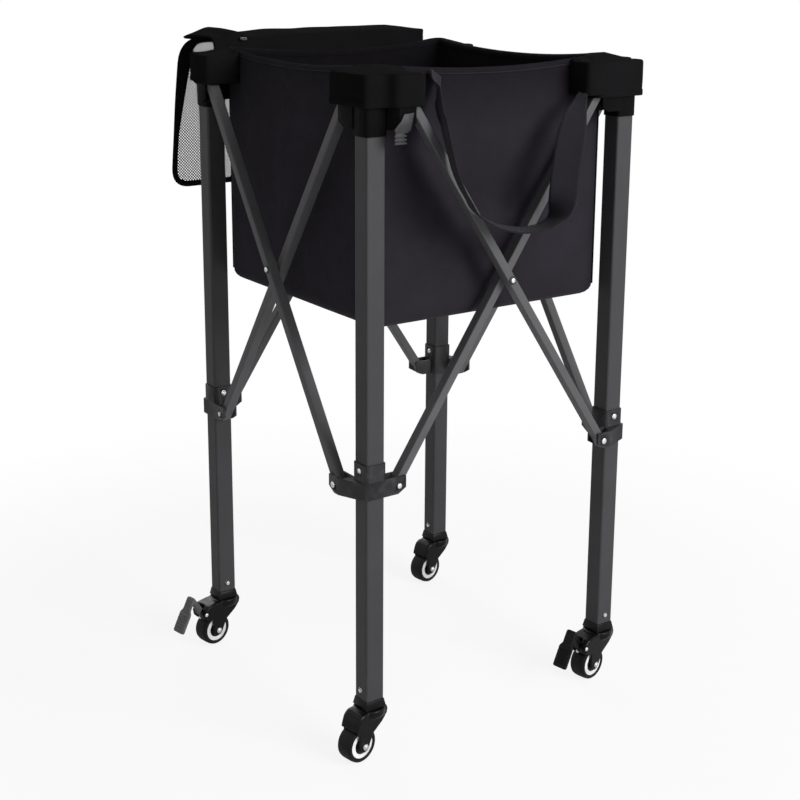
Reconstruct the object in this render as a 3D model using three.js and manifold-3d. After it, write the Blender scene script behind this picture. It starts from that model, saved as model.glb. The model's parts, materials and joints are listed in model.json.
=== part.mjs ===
// Folding ball cart: four square legs on casters, scissor bars on every side, and a fabric hopper.
// Millimetres, +Z up. The origin is on the floor, under the middle of the whole outline.
// The legs are named front, right, rear and left, going round anticlockwise from above.
// A sub-part is drawn once for the front leg, whose outer corner points to -X and -Y. Its next side
// runs along +X to the right leg and its prev side along +Y to the left leg. Quarter turns place the rest.
import * as THREE from 'three';
import Module from 'manifold-3d';
import { mergeVertices } from 'three/addons/utils/BufferGeometryUtils.js';

const wasm = await Module();
wasm.setup();

// The whole cart
const legSpacing = 412;
const originShiftX = 26;
const originShiftY = -25;

// Clearances, and one overrun for every cut
const clearance = 0.3;
const overrun = 1;

// Leg tubes
const tubeSide = 28;
const tubeWall = 1.5;
const tubeCornerRadius = 3;
const tubeTop = 910;

// Scissor bars: the inner bar of each side lies against the leg, the outer bar passes outside it
const topPivotDrop = 19;
const sliderPivotHeight = 382;
const pivotReach = 35;
const barWidth = 12;
const barDepth = 15;
const barWall = 1.5;
const barOverhang = 10;
const barInnerFace = -2;
const barLapGap = 2;
const pivotRadius = 3;
const pivotHeadRadius = 4.5;
const pivotHeadThickness = 1.5;
const rivetHeadRadius = 6;
const washerRadius = 7.5;

// Moulded brackets and sliders
const sleeveWall = 1.8;
const flangeWall = 3;
const cheekGap = 0.4;
const innerCheekWall = 3;
const earTip = 46;
const earCornerCut = 7;
const sliderFlangeBelow = 11;
const sliderFlangeAbove = 12;
const sliderCollarHeight = 23;
const sliderRampStart = -17;
const sliderRampEnd = 23;
const bracketEarBelow = 45;
const bracketEarAbove = 13;
const bracketSkirt = 8;
const bracketTopWall = 2.5;
const bracketRampStart = 13;
const bracketRampEnd = 21;

// Snap buttons
const buttonAboveFlange = 13.4;
const buttonRadius = 4.2;
const buttonProud = 1.8;
const buttonDomeRise = 1.2;
const buttonFlangeRadius = 6.5;
const buttonFlangeThickness = 1.2;
const buttonTravel = 3.8;
const buttonHoleClearance = 0.7;
const springWidth = 8;
const springThickness = 1;
const springDrop = 38;
const springRise = 30;

// Foot plugs with their cross bolts
const plugShank = 38;
const plugFlareHalf = 16.3;
const plugFlareHeight = 12;
const footBoltRise = 12.6;
const footBoltRadius = 2.5;
const footBoltHeadRadius = 4.2;
const footBoltHeadThickness = 1.6;

// Casters, with the wheel trailing along +x from the swivel
const wheelRadius = 25;
const wheelWidth = 20;
const casterTrail = 24;
const casterHeading = THREE.MathUtils.degToRad(190);
const casterHeight = 72;
const stemRadius = 5;
const stemLength = 16;
const forkHeadRadius = 16.6;
const forkHeadHeight = 14;
const forkCheekWall = 2.5;
const forkSideGap = 1;
const forkShoulder = 14;
const hoodRidgeReach = 46;
const hoodRidgeHeight = 65;
const hoodTailReach = 53;
const hoodTailHeight = 50;
const hoodSkirtHeight = 44;
const hoodSkirtReach = 36;
const hoodGap = 2.5;
const axleRadius = 3;
const axleBossRadius = 7.5;
const axleNutRadius = 4.8;
const axleNutThickness = 2.6;
const rimRadius = 18.5;
const rimInnerRadius = 10.5;
const rimWidth = 17;
const hubRadius = 6.5;
const discWall = 8;
const boreClearance = 0.4;
const tyreShoulder = 3;

// Brake pedals: a hub inside the hood, a narrow neck and a ribbed plate
const pedalPivotReach = 46;
const pedalPivotHeight = 57;
const pedalPinRadius = 2;
const pedalPinHeadRadius = 3.2;
const pedalPinHeadThickness = 1.2;
const pedalHubRadius = 4.6;
const pedalNeckWidth = 10;
const pedalSlotClearance = 0.6;
const pedalSlotFloor = 50.5;
const pedalCrestReach = 60;
const pedalCrestHeight = 79;
const pedalTipReach = 88;
const pedalTipHeight = 38;
const pedalWidth = 20;
const pedalThickness = 4;
const pedalRibCount = 5;
const pedalRibRadius = 1.5;

// Hopper bag
const bagWallThickness = 4;
const bagDepth = 338;
const bagRimRise = 12;
const bagRimSag = 11;
const bagBottomCornerRadius = 30;
const floorThickness = 4;
const floorLift = 8;
const floorCornerRadius = 40;

// Corner hoods over the leg tops
const hoodSkirt = 17;
const hoodFabric = 1.4;
const hoodArmTip = 60;
const hoodSlim = 24;
const hoodFat = 38;
const hoodRampStart = 6;
const hoodRampEnd = 14;

// Lid: a fabric band on the rim between the left and the rear leg, and a net flap with a bound edge.
// It is thrown back, so the band lies over the leg tops and the flap hangs outside them.
const lidWidth = 430;
const lidLength = 229;
const lidSeamOut = 103;
const lidSeamRise = 8;
const lidCrestOut = 82;
const lidCrestRise = 17;
const lidRootRun = 12;
const lidRootRise = 13;
const lidBandThickness = 3;
const lidFallAngle = THREE.MathUtils.degToRad(-85.4);
const lidBinding = 9;
const lidThickness = 3;
const lidCornerRadius = 26;
const netThickness = 1.6;
const netColumns = 16;
const netRows = 9;
const netCord = 4;

// Carrying strap
const strapWidth = 38;
const strapThickness = 2.4;
const strapLeft = 80;
const strapRight = 306;
const strapLeftDrop = 8;
const strapRightDrop = 20;
const strapBow = 228;
const strapOut = 50;
const strapSewn = 24;
const strapSteps = 40;
const strapTwist = THREE.MathUtils.degToRad(84);

const half = tubeSide / 2;
const plugFlareBottom = casterHeight;
const tubeBottom = plugFlareBottom + plugFlareHeight;
const plugTop = tubeBottom + plugShank;
const footBoltHeight = tubeBottom + footBoltRise;
const stemTop = casterHeight + stemLength;
const forkHeadBottom = casterHeight - forkHeadHeight;
const topPivotHeight = tubeTop - topPivotDrop;
const bracketEarBottom = topPivotHeight - bracketEarBelow;
const bracketEarTop = topPivotHeight + bracketEarAbove;
const bracketBottom = bracketEarBottom - bracketSkirt;
const sliderFlangeBottom = sliderPivotHeight - sliderFlangeBelow;
const sliderFlangeTop = sliderPivotHeight + sliderFlangeAbove;
const sliderCollarTop = sliderFlangeTop + sliderCollarHeight;
const buttonHeight = sliderFlangeTop + buttonAboveFlange;
const hoodBottom = topPivotHeight - hoodSkirt;
const bagRimHeight = tubeTop + bagRimRise;
const bagBottom = bagRimHeight - bagDepth;
const lidSeamHeight = bagRimHeight + lidSeamRise;
const lidCrestHeight = bagRimHeight + lidCrestRise;
const strapLeftTop = bagRimHeight - strapLeftDrop;
const strapRightTop = bagRimHeight - strapRightDrop;
const strapLowest = bagRimHeight - strapBow;
const bore = half + clearance;
const collarFace = bore + sleeveWall;
const flangeFace = bore + flangeWall - clearance;
const hoodInnerFace = collarFace + clearance + hoodFabric;
const hoodTop = tubeTop + 2 * clearance + bracketTopWall + hoodFabric;
const bagInset = hoodInnerFace + clearance;
const barOuterFace = barInnerFace + barDepth;
const farBarInnerFace = barOuterFace + barLapGap;
const farBarOuterFace = farBarInnerFace + barDepth;
const pivotSpan = legSpacing - 2 * pivotReach;
const pivotRise = topPivotHeight - sliderPivotHeight;
const barLength = Math.hypot(pivotSpan, pivotRise);
const barLean = Math.atan2(pivotSpan, pivotRise);
const bagHalf = legSpacing / 2 - bagInset;
const legHalf = legSpacing / 2;
const axleHeight = wheelRadius;

const steel = { color: 0x4a4a4c, roughness: 0.42, metalness: 0.35 };
const barSteel = { color: 0x5c5c5e, roughness: 0.4, metalness: 0.4 };
const moulded = { color: 0x2a2a2c, roughness: 0.5, metalness: 0 };
const bright = { color: 0xc9c9cb, roughness: 0.25, metalness: 0.9 };
const tyreRubber = { color: 0x1c1c1e, roughness: 0.7, metalness: 0 };
const rimPlastic = { color: 0xdedede, roughness: 0.45, metalness: 0 };
const fabric = { color: 0x201f24, roughness: 0.9, metalness: 0 };
const hoodCloth = { color: 0x161617, roughness: 0.9, metalness: 0 };
const netting = { color: 0xa9a9a9, roughness: 0.8, metalness: 0 };
const webbing = { color: 0x18181a, roughness: 0.85, metalness: 0 };
const pedalPlastic = { color: 0x6a6a6c, roughness: 0.5, metalness: 0 };

const part = new THREE.Group();
const cart = new THREE.Group();
cart.position.set(originShiftX, originShiftY, 0);
part.add(cart);

// Shaping helpers

function solid(geometry) {
  const plain = geometry.clone();
  plain.deleteAttribute('normal');
  plain.deleteAttribute('uv');
  const merged = mergeVertices(plain);
  const vertProperties = new Float32Array(merged.attributes.position.array);
  const triVerts = new Uint32Array(merged.index.array);
  return new wasm.Manifold(new wasm.Mesh({ numProp: 3, vertProperties, triVerts }));
}

function geometryOf(body) {
  const mesh = body.getMesh();
  const geometry = new THREE.BufferGeometry();
  geometry.setAttribute('position', new THREE.BufferAttribute(mesh.vertProperties, 3));
  geometry.setIndex(new THREE.BufferAttribute(mesh.triVerts, 1));
  geometry.computeVertexNormals();
  return geometry;
}

function join(pieces) {
  return pieces.reduce((whole, piece) => whole.add(piece));
}

function cutAway(body, pieces) {
  return pieces.reduce((left, piece) => left.subtract(piece), body);
}

function block(low, high) {
  const size = high.map((value, axis) => value - low[axis]);
  const box = new THREE.BoxGeometry(size[0], size[1], size[2]);
  box.translate(low[0] + size[0] / 2, low[1] + size[1] / 2, low[2] + size[2] / 2);
  return solid(box);
}

// A round bar between two places on a line along x, y or z, through the point (a, b) of the other two axes
function rod(axis, from, to, a, b, radius, sides, endRadius = radius) {
  const geometry = new THREE.CylinderGeometry(endRadius, radius, to - from, sides);
  geometry.translate(0, (to + from) / 2, 0);
  if (axis === 'x') {
    geometry.rotateZ(-Math.PI / 2);
    geometry.translate(0, a, b);
  } else if (axis === 'y') {
    geometry.translate(a, 0, b);
  } else {
    geometry.rotateX(Math.PI / 2);
    geometry.translate(a, b, 0);
  }
  return solid(geometry);
}

function shapeOf(points) {
  return new THREE.Shape(points.map(([x, y]) => new THREE.Vector2(x, y)));
}

// An outline in plan, raised from one height to another
function raised(shape, from, to, curveSegments = 1) {
  const geometry = new THREE.ExtrudeGeometry(shape, {
    depth: to - from, bevelEnabled: false, curveSegments,
  });
  geometry.translate(0, 0, from);
  return solid(geometry);
}

// An outline in the x and z plane, given a thickness along y
function upright(shape, from, to, curveSegments = 1) {
  const geometry = new THREE.ExtrudeGeometry(shape, {
    depth: to - from, bevelEnabled: false, curveSegments,
  });
  geometry.rotateX(Math.PI / 2);
  geometry.translate(0, to, 0);
  return solid(geometry);
}

function roundedSquare(halfSide, radius) {
  const shape = new THREE.Shape();
  const flat = halfSide - radius;
  shape.absarc(flat, flat, radius, 0, Math.PI / 2);
  shape.absarc(-flat, flat, radius, Math.PI / 2, Math.PI);
  shape.absarc(-flat, -flat, radius, Math.PI, 1.5 * Math.PI);
  shape.absarc(flat, -flat, radius, 1.5 * Math.PI, 2 * Math.PI);
  return shape;
}

function roundedPanel(width, height, radius) {
  const shape = new THREE.Shape();
  const x = width / 2 - radius;
  shape.absarc(x, height - radius, radius, 0, Math.PI / 2);
  shape.absarc(-x, height - radius, radius, Math.PI / 2, Math.PI);
  shape.lineTo(-width / 2, 0);
  shape.lineTo(width / 2, 0);
  return shape;
}

function show(name, body, finish, holder) {
  const geometry = body.isBufferGeometry ? body : geometryOf(body);
  geometry.computeVertexNormals();
  const mesh = new THREE.Mesh(geometry, new THREE.MeshStandardMaterial(finish));
  mesh.name = name;
  holder.add(mesh);
  return mesh;
}

// A group at a leg, turned so that the front leg's own drawing fits it
function legGroup(quarter) {
  const turned = new THREE.Group();
  turned.rotation.z = quarter * Math.PI / 2;
  const group = new THREE.Group();
  group.position.set(-legHalf, -legHalf, 0);
  turned.add(group);
  cart.add(turned);
  return group;
}

// Legs

function legTube(buttonSide) {
  const tube = raised(roundedSquare(half, tubeCornerRadius), tubeBottom, tubeTop);
  const hollow = raised(
    roundedSquare(half - tubeWall, tubeCornerRadius - tubeWall), tubeBottom - overrun, tubeTop + overrun);
  const boltHole = rod('x', -half - overrun, half + overrun, 0, footBoltHeight,
    footBoltRadius + 2 * clearance, 8);
  const reach = buttonSide * (half + overrun);
  const buttonHole = rod('x', Math.min(0, reach), Math.max(0, reach), 0, buttonHeight,
    buttonRadius + buttonHoleClearance, 12);
  return cutAway(tube, [hollow, boltHole, buttonHole]);
}

// The plug in the foot of a leg: a square block, a flare below the tube, and the bolt that crosses both
function footPlug() {
  const inner = half - tubeWall - clearance;
  const innerCorner = tubeCornerRadius - tubeWall;
  const flareTop = tubeBottom - clearance;
  const shank = raised(roundedSquare(inner, innerCorner), flareTop - overrun, plugTop);
  const flareGeometry = new THREE.CylinderGeometry(
    half * Math.SQRT2, plugFlareHalf * Math.SQRT2, flareTop - plugFlareBottom, 4);
  flareGeometry.rotateY(Math.PI / 4);
  flareGeometry.rotateX(Math.PI / 2);
  flareGeometry.translate(0, 0, (flareTop + plugFlareBottom) / 2);
  const headFace = half + clearance;
  const bolt = rod('x', -headFace, headFace, 0, footBoltHeight, footBoltRadius, 8);
  const heads = [
    rod('x', headFace, headFace + footBoltHeadThickness, 0, footBoltHeight, footBoltHeadRadius, 8),
    rod('x', -headFace - footBoltHeadThickness, -headFace, 0, footBoltHeight, footBoltHeadRadius, 8),
  ];
  const socket = rod('z', plugFlareBottom - overrun, stemTop + 2 * clearance, 0, 0,
    stemRadius + boreClearance + clearance, 10);
  return cutAway(join([shank, solid(flareGeometry), bolt, ...heads]), [socket]);
}

// A snap button: a domed pin with a flange behind the tube wall, on a bent leaf spring
function snapButton() {
  const flangeFaceX = -half + tubeWall + clearance;
  const pinEnd = -collarFace - buttonProud + buttonDomeRise;
  const pin = rod('x', pinEnd, flangeFaceX + buttonFlangeThickness, 0, buttonHeight, buttonRadius, 10);
  const domeRadiusShare = 0.62;
  const dome = rod('x', pinEnd - buttonDomeRise, pinEnd + overrun, 0, buttonHeight,
    buttonRadius * domeRadiusShare, 10, buttonRadius);
  const flange = rod('x', flangeFaceX, flangeFaceX + buttonFlangeThickness, 0, buttonHeight,
    buttonFlangeRadius, 10);
  const backX = flangeFaceX + buttonFlangeThickness;
  const farX = half - tubeWall - buttonTravel - 2 * clearance;
  const bendZ = buttonHeight - springDrop;
  const leaf = shapeOf([
    [backX - springThickness, buttonHeight],
    [backX - springThickness, bendZ + springThickness],
    [backX, bendZ],
    [backX + springThickness, bendZ],
    [farX, bendZ + springRise],
    [farX - springThickness, bendZ + springRise + springThickness],
    [backX, bendZ + 2 * springThickness],
    [backX, buttonHeight],
  ]);
  return join([pin, dome, flange, upright(leaf, -springWidth / 2, springWidth / 2)]);
}

// Brackets and sliders share their ears: each pair of cheeks holds one bar end on a pin

function squareSleeve(outer, bottom, top) {
  const cornerRadius = tubeCornerRadius + outer - half;
  return raised(roundedSquare(outer, cornerRadius), bottom, top);
}

// Cheeks beside a bar whose inner face lies at barFrom, on the next side when along is 'x'.
// The outer cheek leaves the sleeve at the ramp's start and lies beside the bar from the ramp's end.
function earPair(along, barFrom, ramp, heights) {
  const barTo = barFrom + barDepth;
  const outerNear = barTo + cheekGap;
  const outerFar = Math.max(outerNear + innerCheekWall, flangeFace);
  const innerFar = barFrom - cheekGap;
  const innerNear = innerFar - innerCheekWall;
  const rampStart = ramp[0];
  const rampEnd = ramp[1];
  const outer = [
    [rampStart, -flangeFace],
    [rampEnd, -outerFar],
    [earTip, -outerFar],
    [earTip, -outerNear],
    [rampEnd, -outerNear],
    [half + overrun, -half],
    [rampStart, -half],
  ];
  const inner = [
    [half + overrun, -innerFar],
    [earTip, -innerFar],
    [earTip, -innerNear],
    [half + overrun, -innerNear],
  ];
  const place = ([x, y]) => (along === 'x' ? [x, y] : [y, x]);
  const outlines = [outer, inner].map((outline) => shapeOf(outline.map(place)));
  return join(outlines.map((outline) => raised(outline, ...heights)));
}

function pivotPin(along, barFrom, height) {
  const barTo = barFrom + barDepth;
  const outerFace = Math.max(barTo + cheekGap + innerCheekWall, flangeFace);
  const innerFace = barFrom - cheekGap - innerCheekWall;
  const axis = along === 'x' ? 'y' : 'x';
  const pin = rod(axis, -outerFace, -innerFace, pivotReach, height, pivotRadius, 8);
  const headFace = outerFace + pivotHeadThickness;
  const head = rod(axis, -headFace, -outerFace, pivotReach, height, pivotHeadRadius, 8);
  return pin.add(head);
}

// Cuts the lower corner off the tip of the ears on one side
function tipCut(along, bottom) {
  const wedge = shapeOf([
    [earTip + overrun, bottom - overrun],
    [earTip + overrun, bottom + earCornerCut + overrun],
    [earTip - earCornerCut * 2, bottom - overrun],
  ]);
  const reach = farBarOuterFace + flangeWall * 2;
  const cut = upright(wedge, -reach, reach);
  return along === 'x' ? cut : cut.mirror([1, -1, 0]);
}

function topBracket() {
  const top = tubeTop + clearance;
  const sleeve = squareSleeve(collarFace, bracketBottom, top + bracketTopWall);
  const heights = [bracketEarBottom, bracketEarTop];
  const ramp = [bracketRampStart, bracketRampEnd];
  const ears = [earPair('x', farBarInnerFace, ramp, heights), earPair('y', barInnerFace, ramp, heights)];
  const boreCut = raised(roundedSquare(bore, tubeCornerRadius - tubeWall / 2), bracketBottom - overrun, top);
  const cuts = [boreCut, tipCut('x', bracketEarBottom), tipCut('y', bracketEarBottom)];
  const body = cutAway(join([sleeve, ...ears]), cuts);
  const nextPin = pivotPin('x', farBarInnerFace, topPivotHeight);
  const prevPin = pivotPin('y', barInnerFace, topPivotHeight);
  return join([body, nextPin, prevPin]);
}

function slider(buttonSide) {
  const collar = squareSleeve(collarFace, sliderFlangeBottom, sliderCollarTop);
  const heights = [sliderFlangeBottom, sliderFlangeTop];
  const ramp = [sliderRampStart, sliderRampEnd];
  const ears = [earPair('x', barInnerFace, ramp, heights), earPair('y', farBarInnerFace, ramp, heights)];
  const boreCut = raised(roundedSquare(bore, tubeCornerRadius - tubeWall / 2), sliderFlangeBottom - overrun,
    sliderCollarTop + overrun);
  const reach = buttonSide * (collarFace + overrun);
  const buttonHole = rod('x', Math.min(0, reach), Math.max(0, reach), 0, buttonHeight,
    buttonRadius + buttonHoleClearance, 12);
  const cuts = [boreCut, buttonHole, tipCut('x', sliderFlangeBottom), tipCut('y', sliderFlangeBottom)];
  const body = cutAway(join([collar, ...ears]), cuts);
  const nextPin = pivotPin('x', barInnerFace, sliderPivotHeight);
  const prevPin = pivotPin('y', farBarInnerFace, sliderPivotHeight);
  return join([body, nextPin, prevPin]);
}

// Scissor bars

function hollowBar() {
  const corner = barWall;
  const section = (halfWidth, halfDepth) => shapeOf([
    [-halfWidth + corner, -halfDepth], [halfWidth - corner, -halfDepth],
    [halfWidth, -halfDepth + corner], [halfWidth, halfDepth - corner],
    [halfWidth - corner, halfDepth], [-halfWidth + corner, halfDepth],
    [-halfWidth, halfDepth - corner], [-halfWidth, -halfDepth + corner],
  ]);
  const reach = barLength / 2 + barOverhang;
  const innerWidth = barWidth / 2 - barWall;
  const innerDepth = barDepth / 2 - barWall;
  const outside = raised(section(barWidth / 2, barDepth / 2), -reach, reach);
  const inside = raised(section(innerWidth, innerDepth), -reach - overrun, reach + overrun);
  const holeRadius = pivotRadius + boreClearance + clearance;
  const holes = [-barLength / 2, barLength / 2].map((height) =>
    rod('y', -barDepth, barDepth, 0, height, holeRadius, 8));
  return cutAway(outside, [inside, ...holes]);
}

// The outer bar carries the rivet that the two bars turn on, with the washer that parts them
function outerBar() {
  const faceY = -barDepth / 2;
  const backY = barDepth / 2 + barLapGap + barDepth;
  const shank = rod('y', faceY, backY + clearance, 0, 0, pivotRadius, 8);
  const head = rod('y', faceY - pivotHeadThickness, faceY, 0, 0, rivetHeadRadius, 10);
  const washer = rod('y', barDepth / 2, barDepth / 2 + barLapGap - clearance, 0, 0, washerRadius, 8);
  const backHead = rod('y', backY + clearance, backY + clearance + pivotHeadThickness, 0, 0,
    pivotHeadRadius, 8);
  return join([hollowBar(), shank, head, washer, backHead]);
}

function innerBar() {
  const hole = rod('y', -barDepth, barDepth, 0, 0, pivotRadius + boreClearance + clearance, 8);
  return hollowBar().subtract(hole);
}

function placeBar(mesh, outward, lean) {
  mesh.rotation.y = lean;
  mesh.position.set(legHalf, -outward - barDepth / 2, (topPivotHeight + sliderPivotHeight) / 2);
}

// Caster fork: cheeks, hood and head in one moulding, with its stem, axle and nuts

function casterFork(withBrake) {
  const side = new THREE.Shape();
  side.moveTo(-forkHeadRadius, forkHeadBottom);
  side.absarc(casterTrail, axleHeight, axleBossRadius, Math.PI * 1.22, Math.PI * 2.05);
  side.lineTo(hoodSkirtReach, hoodSkirtHeight);
  side.lineTo(hoodTailReach - overrun, hoodSkirtHeight);
  side.lineTo(hoodTailReach, hoodTailHeight);
  side.lineTo(hoodRidgeReach, hoodRidgeHeight);
  side.lineTo(forkShoulder, plugFlareBottom - clearance);
  side.lineTo(0, plugFlareBottom - clearance);
  side.lineTo(-forkHeadRadius, forkHeadBottom + hoodGap);
  const cavityHalf = wheelWidth / 2 + forkSideGap;
  const width = cavityHalf + forkCheekWall;
  const shell = upright(side, -width, width, 3);
  const head = rod('z', forkHeadBottom, plugFlareBottom - clearance, 0, 0, forkHeadRadius, 14);
  const cavity = rod('y', -cavityHalf, cavityHalf, casterTrail, axleHeight, wheelRadius + hoodGap, 16);
  const stem = rod('z', forkHeadBottom, stemTop, 0, 0, stemRadius, 10);
  const axle = rod('y', -width, width, casterTrail, axleHeight, axleRadius, 8);
  const nutFace = width + axleNutThickness;
  const nuts = [
    rod('y', width, nutFace, casterTrail, axleHeight, axleNutRadius, 6),
    rod('y', -nutFace, -width, casterTrail, axleHeight, axleNutRadius, 6),
  ];
  const body = cutAway(shell.add(head), withBrake ? [cavity, ...brakeCuts(width)] : [cavity]);
  return join([body, stem, axle, ...nuts]);
}

// The slot in a hood where the pedal's neck comes out, and the bore for its pin
function brakeCuts(width) {
  const slotHalf = pedalNeckWidth / 2 + pedalSlotClearance;
  const slotFront = pedalPivotReach - pedalHubRadius - pedalSlotClearance;
  const slot = block(
    [slotFront, -slotHalf, pedalSlotFloor], [hoodTailReach + overrun, slotHalf, plugFlareBottom]);
  const pinBore = rod('y', -width - overrun, width + overrun, pedalPivotReach, pedalPivotHeight,
    pedalPinRadius + boreClearance, 8);
  return [slot, pinBore];
}

function wheelCore() {
  const boreRadius = axleRadius + boreClearance;
  const face = wheelWidth / 2;
  const rimFace = rimWidth / 2;
  const disc = discWall / 2;
  const profile = [
    [boreRadius, -face], [hubRadius, -face], [hubRadius, -disc],
    [rimInnerRadius, -disc], [rimInnerRadius, -rimFace], [rimRadius, -rimFace],
    [rimRadius, rimFace], [rimInnerRadius, rimFace], [rimInnerRadius, disc],
    [hubRadius, disc], [hubRadius, face], [boreRadius, face], [boreRadius, -face],
  ];
  return latheAcross(profile, 14);
}

function tyre() {
  const inner = rimRadius + clearance;
  const face = wheelWidth / 2;
  const profile = [
    [inner, -face + overrun], [wheelRadius - tyreShoulder, -face],
    [wheelRadius, -face + tyreShoulder], [wheelRadius, face - tyreShoulder],
    [wheelRadius - tyreShoulder, face], [inner, face - overrun], [inner, -face + overrun],
  ];
  return latheAcross(profile, 20);
}

// A body of revolution about the axle, which lies along y
function latheAcross(profile, sides) {
  const points = profile.map(([radius, along]) => new THREE.Vector2(radius, along));
  const geometry = new THREE.LatheGeometry(points, sides);
  geometry.translate(casterTrail, 0, 0);
  geometry.translate(0, 0, axleHeight);
  return solid(geometry);
}

function brakePedal() {
  const drop = new THREE.Vector2(pedalTipReach - pedalCrestReach, pedalTipHeight - pedalCrestHeight);
  const along = drop.clone().normalize();
  const under = new THREE.Vector2(along.y, -along.x).multiplyScalar(pedalThickness);
  const neck = shapeOf([
    [pedalPivotReach - pedalHubRadius / 2, pedalPivotHeight],
    [pedalPivotReach + pedalHubRadius, pedalPivotHeight],
    [pedalCrestReach + under.x / 2, pedalCrestHeight + under.y * 2],
    [pedalCrestReach, pedalCrestHeight],
    [pedalCrestReach - pedalThickness, pedalCrestHeight - overrun],
  ]);
  const plate = shapeOf([
    [pedalCrestReach, pedalCrestHeight],
    [pedalCrestReach - pedalThickness, pedalCrestHeight - overrun],
    [pedalCrestReach + under.x, pedalCrestHeight + under.y * 2],
    [pedalTipReach + under.x, pedalTipHeight + under.y],
    [pedalTipReach, pedalTipHeight],
  ]);
  const pieces = [
    upright(neck, -pedalNeckWidth / 2, pedalNeckWidth / 2),
    upright(plate, -pedalWidth / 2, pedalWidth / 2),
    rod('y', -pedalNeckWidth / 2, pedalNeckWidth / 2, pedalPivotReach, pedalPivotHeight, pedalHubRadius, 10),
    pedalPin(),
  ];
  for (let rib = 1; rib <= pedalRibCount; rib += 1) {
    const share = rib / (pedalRibCount + 1);
    const x = pedalCrestReach + drop.x * share;
    const z = pedalCrestHeight + drop.y * share;
    pieces.push(rod('y', -pedalWidth / 2, pedalWidth / 2, x, z, pedalRibRadius, 6));
  }
  return join(pieces);
}

function pedalPin() {
  const face = wheelWidth / 2 + forkSideGap + forkCheekWall + clearance;
  const headFace = face + pedalPinHeadThickness;
  const at = [pedalPivotReach, pedalPivotHeight];
  return join([
    rod('y', -face, face, ...at, pedalPinRadius, 8),
    rod('y', face, headFace, ...at, pedalPinHeadRadius, 10),
    rod('y', -headFace, -face, ...at, pedalPinHeadRadius, 10),
  ]);
}

// Hopper bag: four fabric walls, each running from its corner to the face of the next, and a creased floor

function bagWall() {
  const width = 2 * bagHalf - bagWallThickness - clearance;
  const shape = new THREE.Shape();
  const left = -bagHalf;
  const right = left + width;
  shape.moveTo(left, bagBottom + bagBottomCornerRadius);
  shape.absarc(left + bagBottomCornerRadius, bagBottom + bagBottomCornerRadius, bagBottomCornerRadius,
    Math.PI, 1.5 * Math.PI);
  shape.absarc(right - bagBottomCornerRadius, bagBottom + bagBottomCornerRadius, bagBottomCornerRadius,
    1.5 * Math.PI, 2 * Math.PI);
  shape.lineTo(right, bagRimHeight);
  shape.quadraticCurveTo((left + right) / 2, bagRimHeight - 2 * bagRimSag, left, bagRimHeight);
  return upright(shape, -bagHalf, -bagHalf + bagWallThickness, 3);
}

// The band leaves the rim above the hoods, passes over the leg tops and ends at the flap's seam
function lidBand() {
  const root = bagHalf + clearance;
  const seam = legHalf + lidSeamOut - lidThickness / 2 - clearance;
  const crest = legHalf + lidCrestOut;
  const band = shapeOf([
    [root, hoodTop + clearance],
    [root + lidBandThickness, hoodTop + clearance],
    [root + lidBandThickness, bagRimHeight],
    [root + lidRootRun + lidBandThickness, bagRimHeight + lidRootRise - lidBandThickness],
    [crest, lidCrestHeight - lidBandThickness],
    [seam, lidSeamHeight - lidBandThickness],
    [seam, lidSeamHeight],
    [crest, lidCrestHeight],
    [root + lidRootRun, bagRimHeight + lidRootRise],
    [root, bagRimHeight],
  ]);
  const geometry = new THREE.ExtrudeGeometry(band, { depth: lidWidth, bevelEnabled: false });
  geometry.rotateX(Math.PI / 2);
  geometry.rotateZ(Math.PI / 2);
  geometry.translate(-lidWidth / 2, 0, 0);
  return solid(geometry);
}

function floorHalf(side) {
  const reach = bagHalf - bagWallThickness - clearance;
  const low = bagBottom + floorLift;
  const high = low + floorThickness;
  const ends = side > 0 ? [clearance / 2, bagHalf] : [-bagHalf, -clearance / 2];
  const sheet = raised(roundedSquare(reach, floorCornerRadius), low, high, 2);
  return sheet.intersect(block([ends[0], -bagHalf, low - overrun], [ends[1], bagHalf, high + overrun]));
}

// Lid, drawn hanging straight down from its seam along x, then leaned out

function lidBorder() {
  const outer = roundedPanel(lidWidth, lidLength, lidCornerRadius);
  const windowShape = new THREE.Path();
  const x = lidWidth / 2 - lidBinding;
  windowShape.moveTo(-x, lidBinding);
  windowShape.lineTo(-x, lidLength - lidBinding);
  windowShape.lineTo(x, lidLength - lidBinding);
  windowShape.lineTo(x, lidBinding);
  outer.holes.push(windowShape);
  const geometry = new THREE.ExtrudeGeometry(outer, {
    depth: lidThickness, bevelEnabled: false, curveSegments: 2,
  });
  geometry.translate(0, 0, -lidThickness / 2);
  return solid(geometry);
}

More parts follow.
